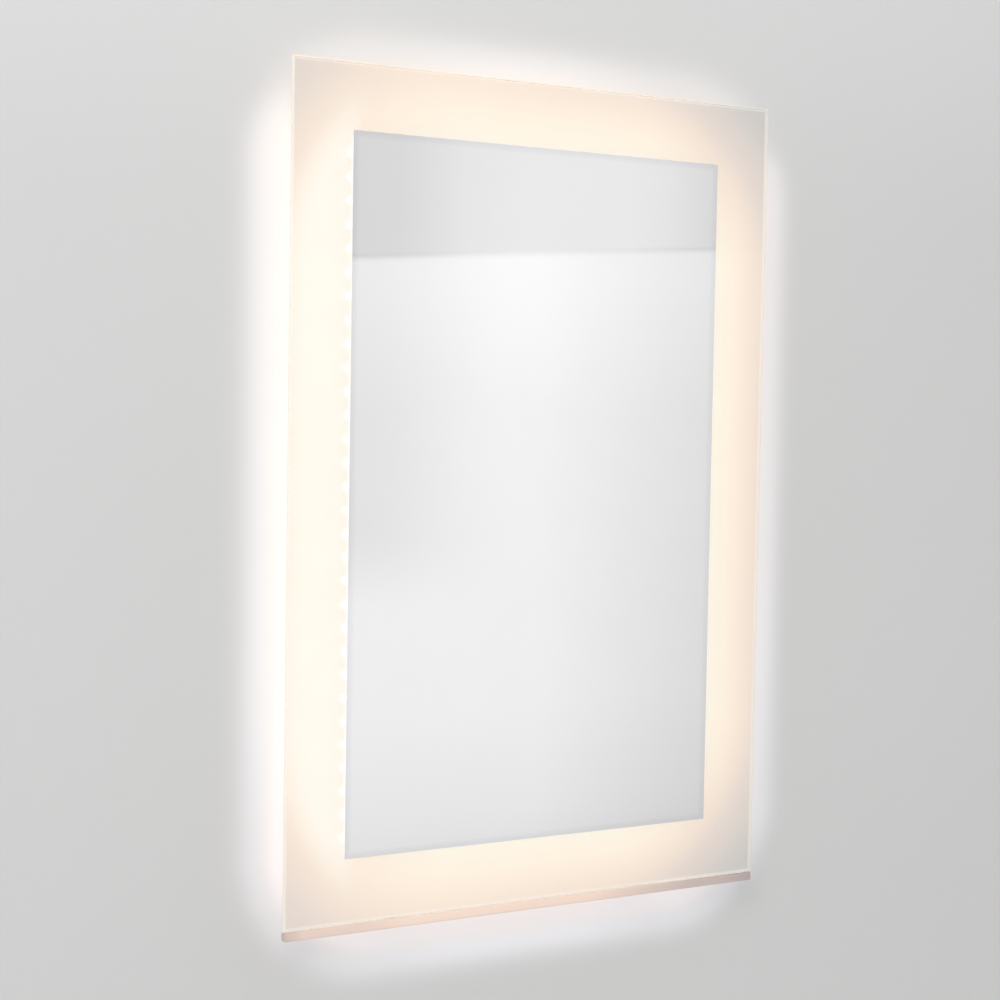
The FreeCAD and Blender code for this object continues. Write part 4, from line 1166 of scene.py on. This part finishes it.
class MIRROR_OT_stage(Undoable, Operator):
    """Makes the wall, the floor, the pale flat across the room, the lamps and the camera"""
    bl_idname = "lighted_mirror.stage"
    bl_label = "Stage"

    WALL_BEHIND = 0.0005
    HALF_ROOM = 5.0
    CAMERA_AT = (-1.0607, -1.8351, -0.2309)
    CAMERA_UP = (0.0095, 0.0508, 0.9987)
    CAMERA_AHEAD = (0.4899, 0.8704, -0.0489)
    SENSOR_WIDTH = 36.0
    BACKGROUND = 0.93
    # name, place, width and watts
    LAMPS = (
        ("front_softbox", (-1.9, -2.6, 1.5), 1.8, 42.0),
        ("rear_softbox", (1.2, 2.6, 0.9), 2.2, 40.0),
    )

    def sheet(self, name, place, finish, turned=False):
        """A large square sheet of the room, which is no part of the mirror."""
        bm = bmesh.new()
        bmesh.ops.create_grid(bm, x_segments=1, y_segments=1, size=self.HALF_ROOM, matrix=place)
        if turned:
            bmesh.ops.reverse_faces(bm, faces=bm.faces)
        piece = finished(name, bm, (finish,), None)
        return piece

    def added(self, name, data, matrix):
        """A lamp or camera with its data, in its place."""
        item = bpy.data.objects.new(name, data)
        item.matrix_world = matrix
        bpy.context.scene.collection.objects.link(item)
        return item

    def lamp(self, name, place, width, watts):
        """A soft square lamp that looks at the mirror's centre."""
        data = bpy.data.lights.new(name, "AREA")
        data.shape = "SQUARE"
        data.size = width
        data.energy = watts
        place = Vector(place)
        turn = (CENTRE - place).to_track_quat("-Z", "Y").to_matrix().to_4x4()
        self.added(name, data, Matrix.Translation(place) @ turn)

    def world(self, context, daylight):
        """Even light from all round, with a pale background to look at."""
        world = bpy.data.worlds.new("daylight")
        world.use_nodes = True
        tree = world.node_tree
        tree.nodes.clear()
        path = add_node(tree, "ShaderNodeLightPath").outputs
        seen = larger(larger(path["Is Camera Ray"], path["Is Glossy Ray"]), path["Is Transmission Ray"])
        strength = spread(seen, 0.0, 1.0, daylight, self.BACKGROUND)
        background = step("ShaderNodeBackground", {"Color": (1, 1, 1, 1), "Strength": strength})
        output = add_node(tree, "ShaderNodeOutputWorld")
        tree.links.new(background.outputs["Background"], output.inputs["Surface"])
        context.scene.world = world

    def camera(self, context, lens):
        """The camera at the photograph's place."""
        data = bpy.data.cameras.new("camera")
        data.lens = lens
        data.sensor_width = self.SENSOR_WIDTH
        ahead = Vector(self.CAMERA_AHEAD).normalized()
        right = ahead.cross(Vector(self.CAMERA_UP)).normalized()
        turn = Matrix((right, right.cross(ahead), -ahead)).transposed().to_4x4()
        context.scene.camera = self.added("camera", data, Matrix.Translation(self.CAMERA_AT) @ turn)

    def execute(self, context):
        stage = settings_of(context).stage
        upright = Matrix.Rotation(math.radians(90), 4, "X")
        floor_z = -stage.floor_drop
        wall_middle = floor_z + self.HALF_ROOM
        wall_place = Matrix.Translation((0, self.WALL_BEHIND, wall_middle)) @ upright
        self.sheet("wall", wall_place, wall_finish(stage))
        floor = speckled("floor_paint", stage.floor, 30.0, 0.02, 0.001, 0.6, 0.01)
        self.sheet("floor", Matrix.Translation((0, 0, floor_z)), floor)
        flat_place = Matrix.Translation((0, -stage.flat_distance, wall_middle)) @ upright
        flat = self.sheet("room_flat", flat_place, flat_finish(), turned=True)
        flat.visible_camera = False
        flat.visible_diffuse = False
        flat.visible_shadow = False
        self.world(context, stage.daylight)
        for lamp in self.LAMPS:
            self.lamp(*lamp)
        self.camera(context, stage.lens)
        context.scene.view_settings.view_transform = "Standard"
        return {"FINISHED"}


# ---- panel and registration

OPERATORS = (
    MIRROR_OT_stage, MIRROR_OT_glass_panel, MIRROR_OT_bottom_rail, MIRROR_OT_light_chips,
    MIRROR_OT_strip_parts, MIRROR_OT_screws, MIRROR_OT_wall_bumpers, MIRROR_OT_cable_gland,
    MIRROR_OT_packed_finishes,
)


class MIRROR_PT_pieces(Panel):
    """The mirror's pieces and their settings"""
    bl_idname = "MIRROR_PT_pieces"
    bl_label = "Lighted mirror"
    bl_space_type = "VIEW_3D"
    bl_region_type = "UI"
    bl_category = "Mirror"

    def draw(self, context):
        settings = settings_of(context)
        for name in LightedMirrorSettings.__annotations__:
            group = getattr(settings, name)
            box = self.layout.box()
            box.label(text=name.capitalize())
            for setting in group.__annotations__:
                box.prop(group, setting)
        for operator in OPERATORS:
            self.layout.operator(operator.bl_idname)


CLASSES = (
    GlassSettings, LightSettings, RailSettings, HardwareSettings, FinishSettings, StageSettings,
    LightedMirrorSettings, *OPERATORS, MIRROR_PT_pieces,
)


def register():
    """Registers the classes and hangs the settings on the scene."""
    for item in CLASSES:
        bpy.utils.register_class(item)
    bpy.types.Scene.lighted_mirror = PointerProperty(type=LightedMirrorSettings)


def unregister():
    """Takes the settings and the classes away again."""
    del bpy.types.Scene.lighted_mirror
    for item in reversed(CLASSES):
        bpy.utils.unregister_class(item)


def main():
    """Registers the add-on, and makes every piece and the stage."""
    register()
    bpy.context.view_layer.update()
    bpy.ops.lighted_mirror.stage()
    bpy.ops.lighted_mirror.glass_panel()
    bpy.ops.lighted_mirror.bottom_rail()
    bpy.ops.lighted_mirror.light_chips()
    bpy.ops.lighted_mirror.strip_parts()
    bpy.ops.lighted_mirror.screws()
    bpy.ops.lighted_mirror.wall_bumpers()
    bpy.ops.lighted_mirror.cable_gland()
    bpy.ops.lighted_mirror.packed_finishes()


if __name__ == "__main__":
    main()
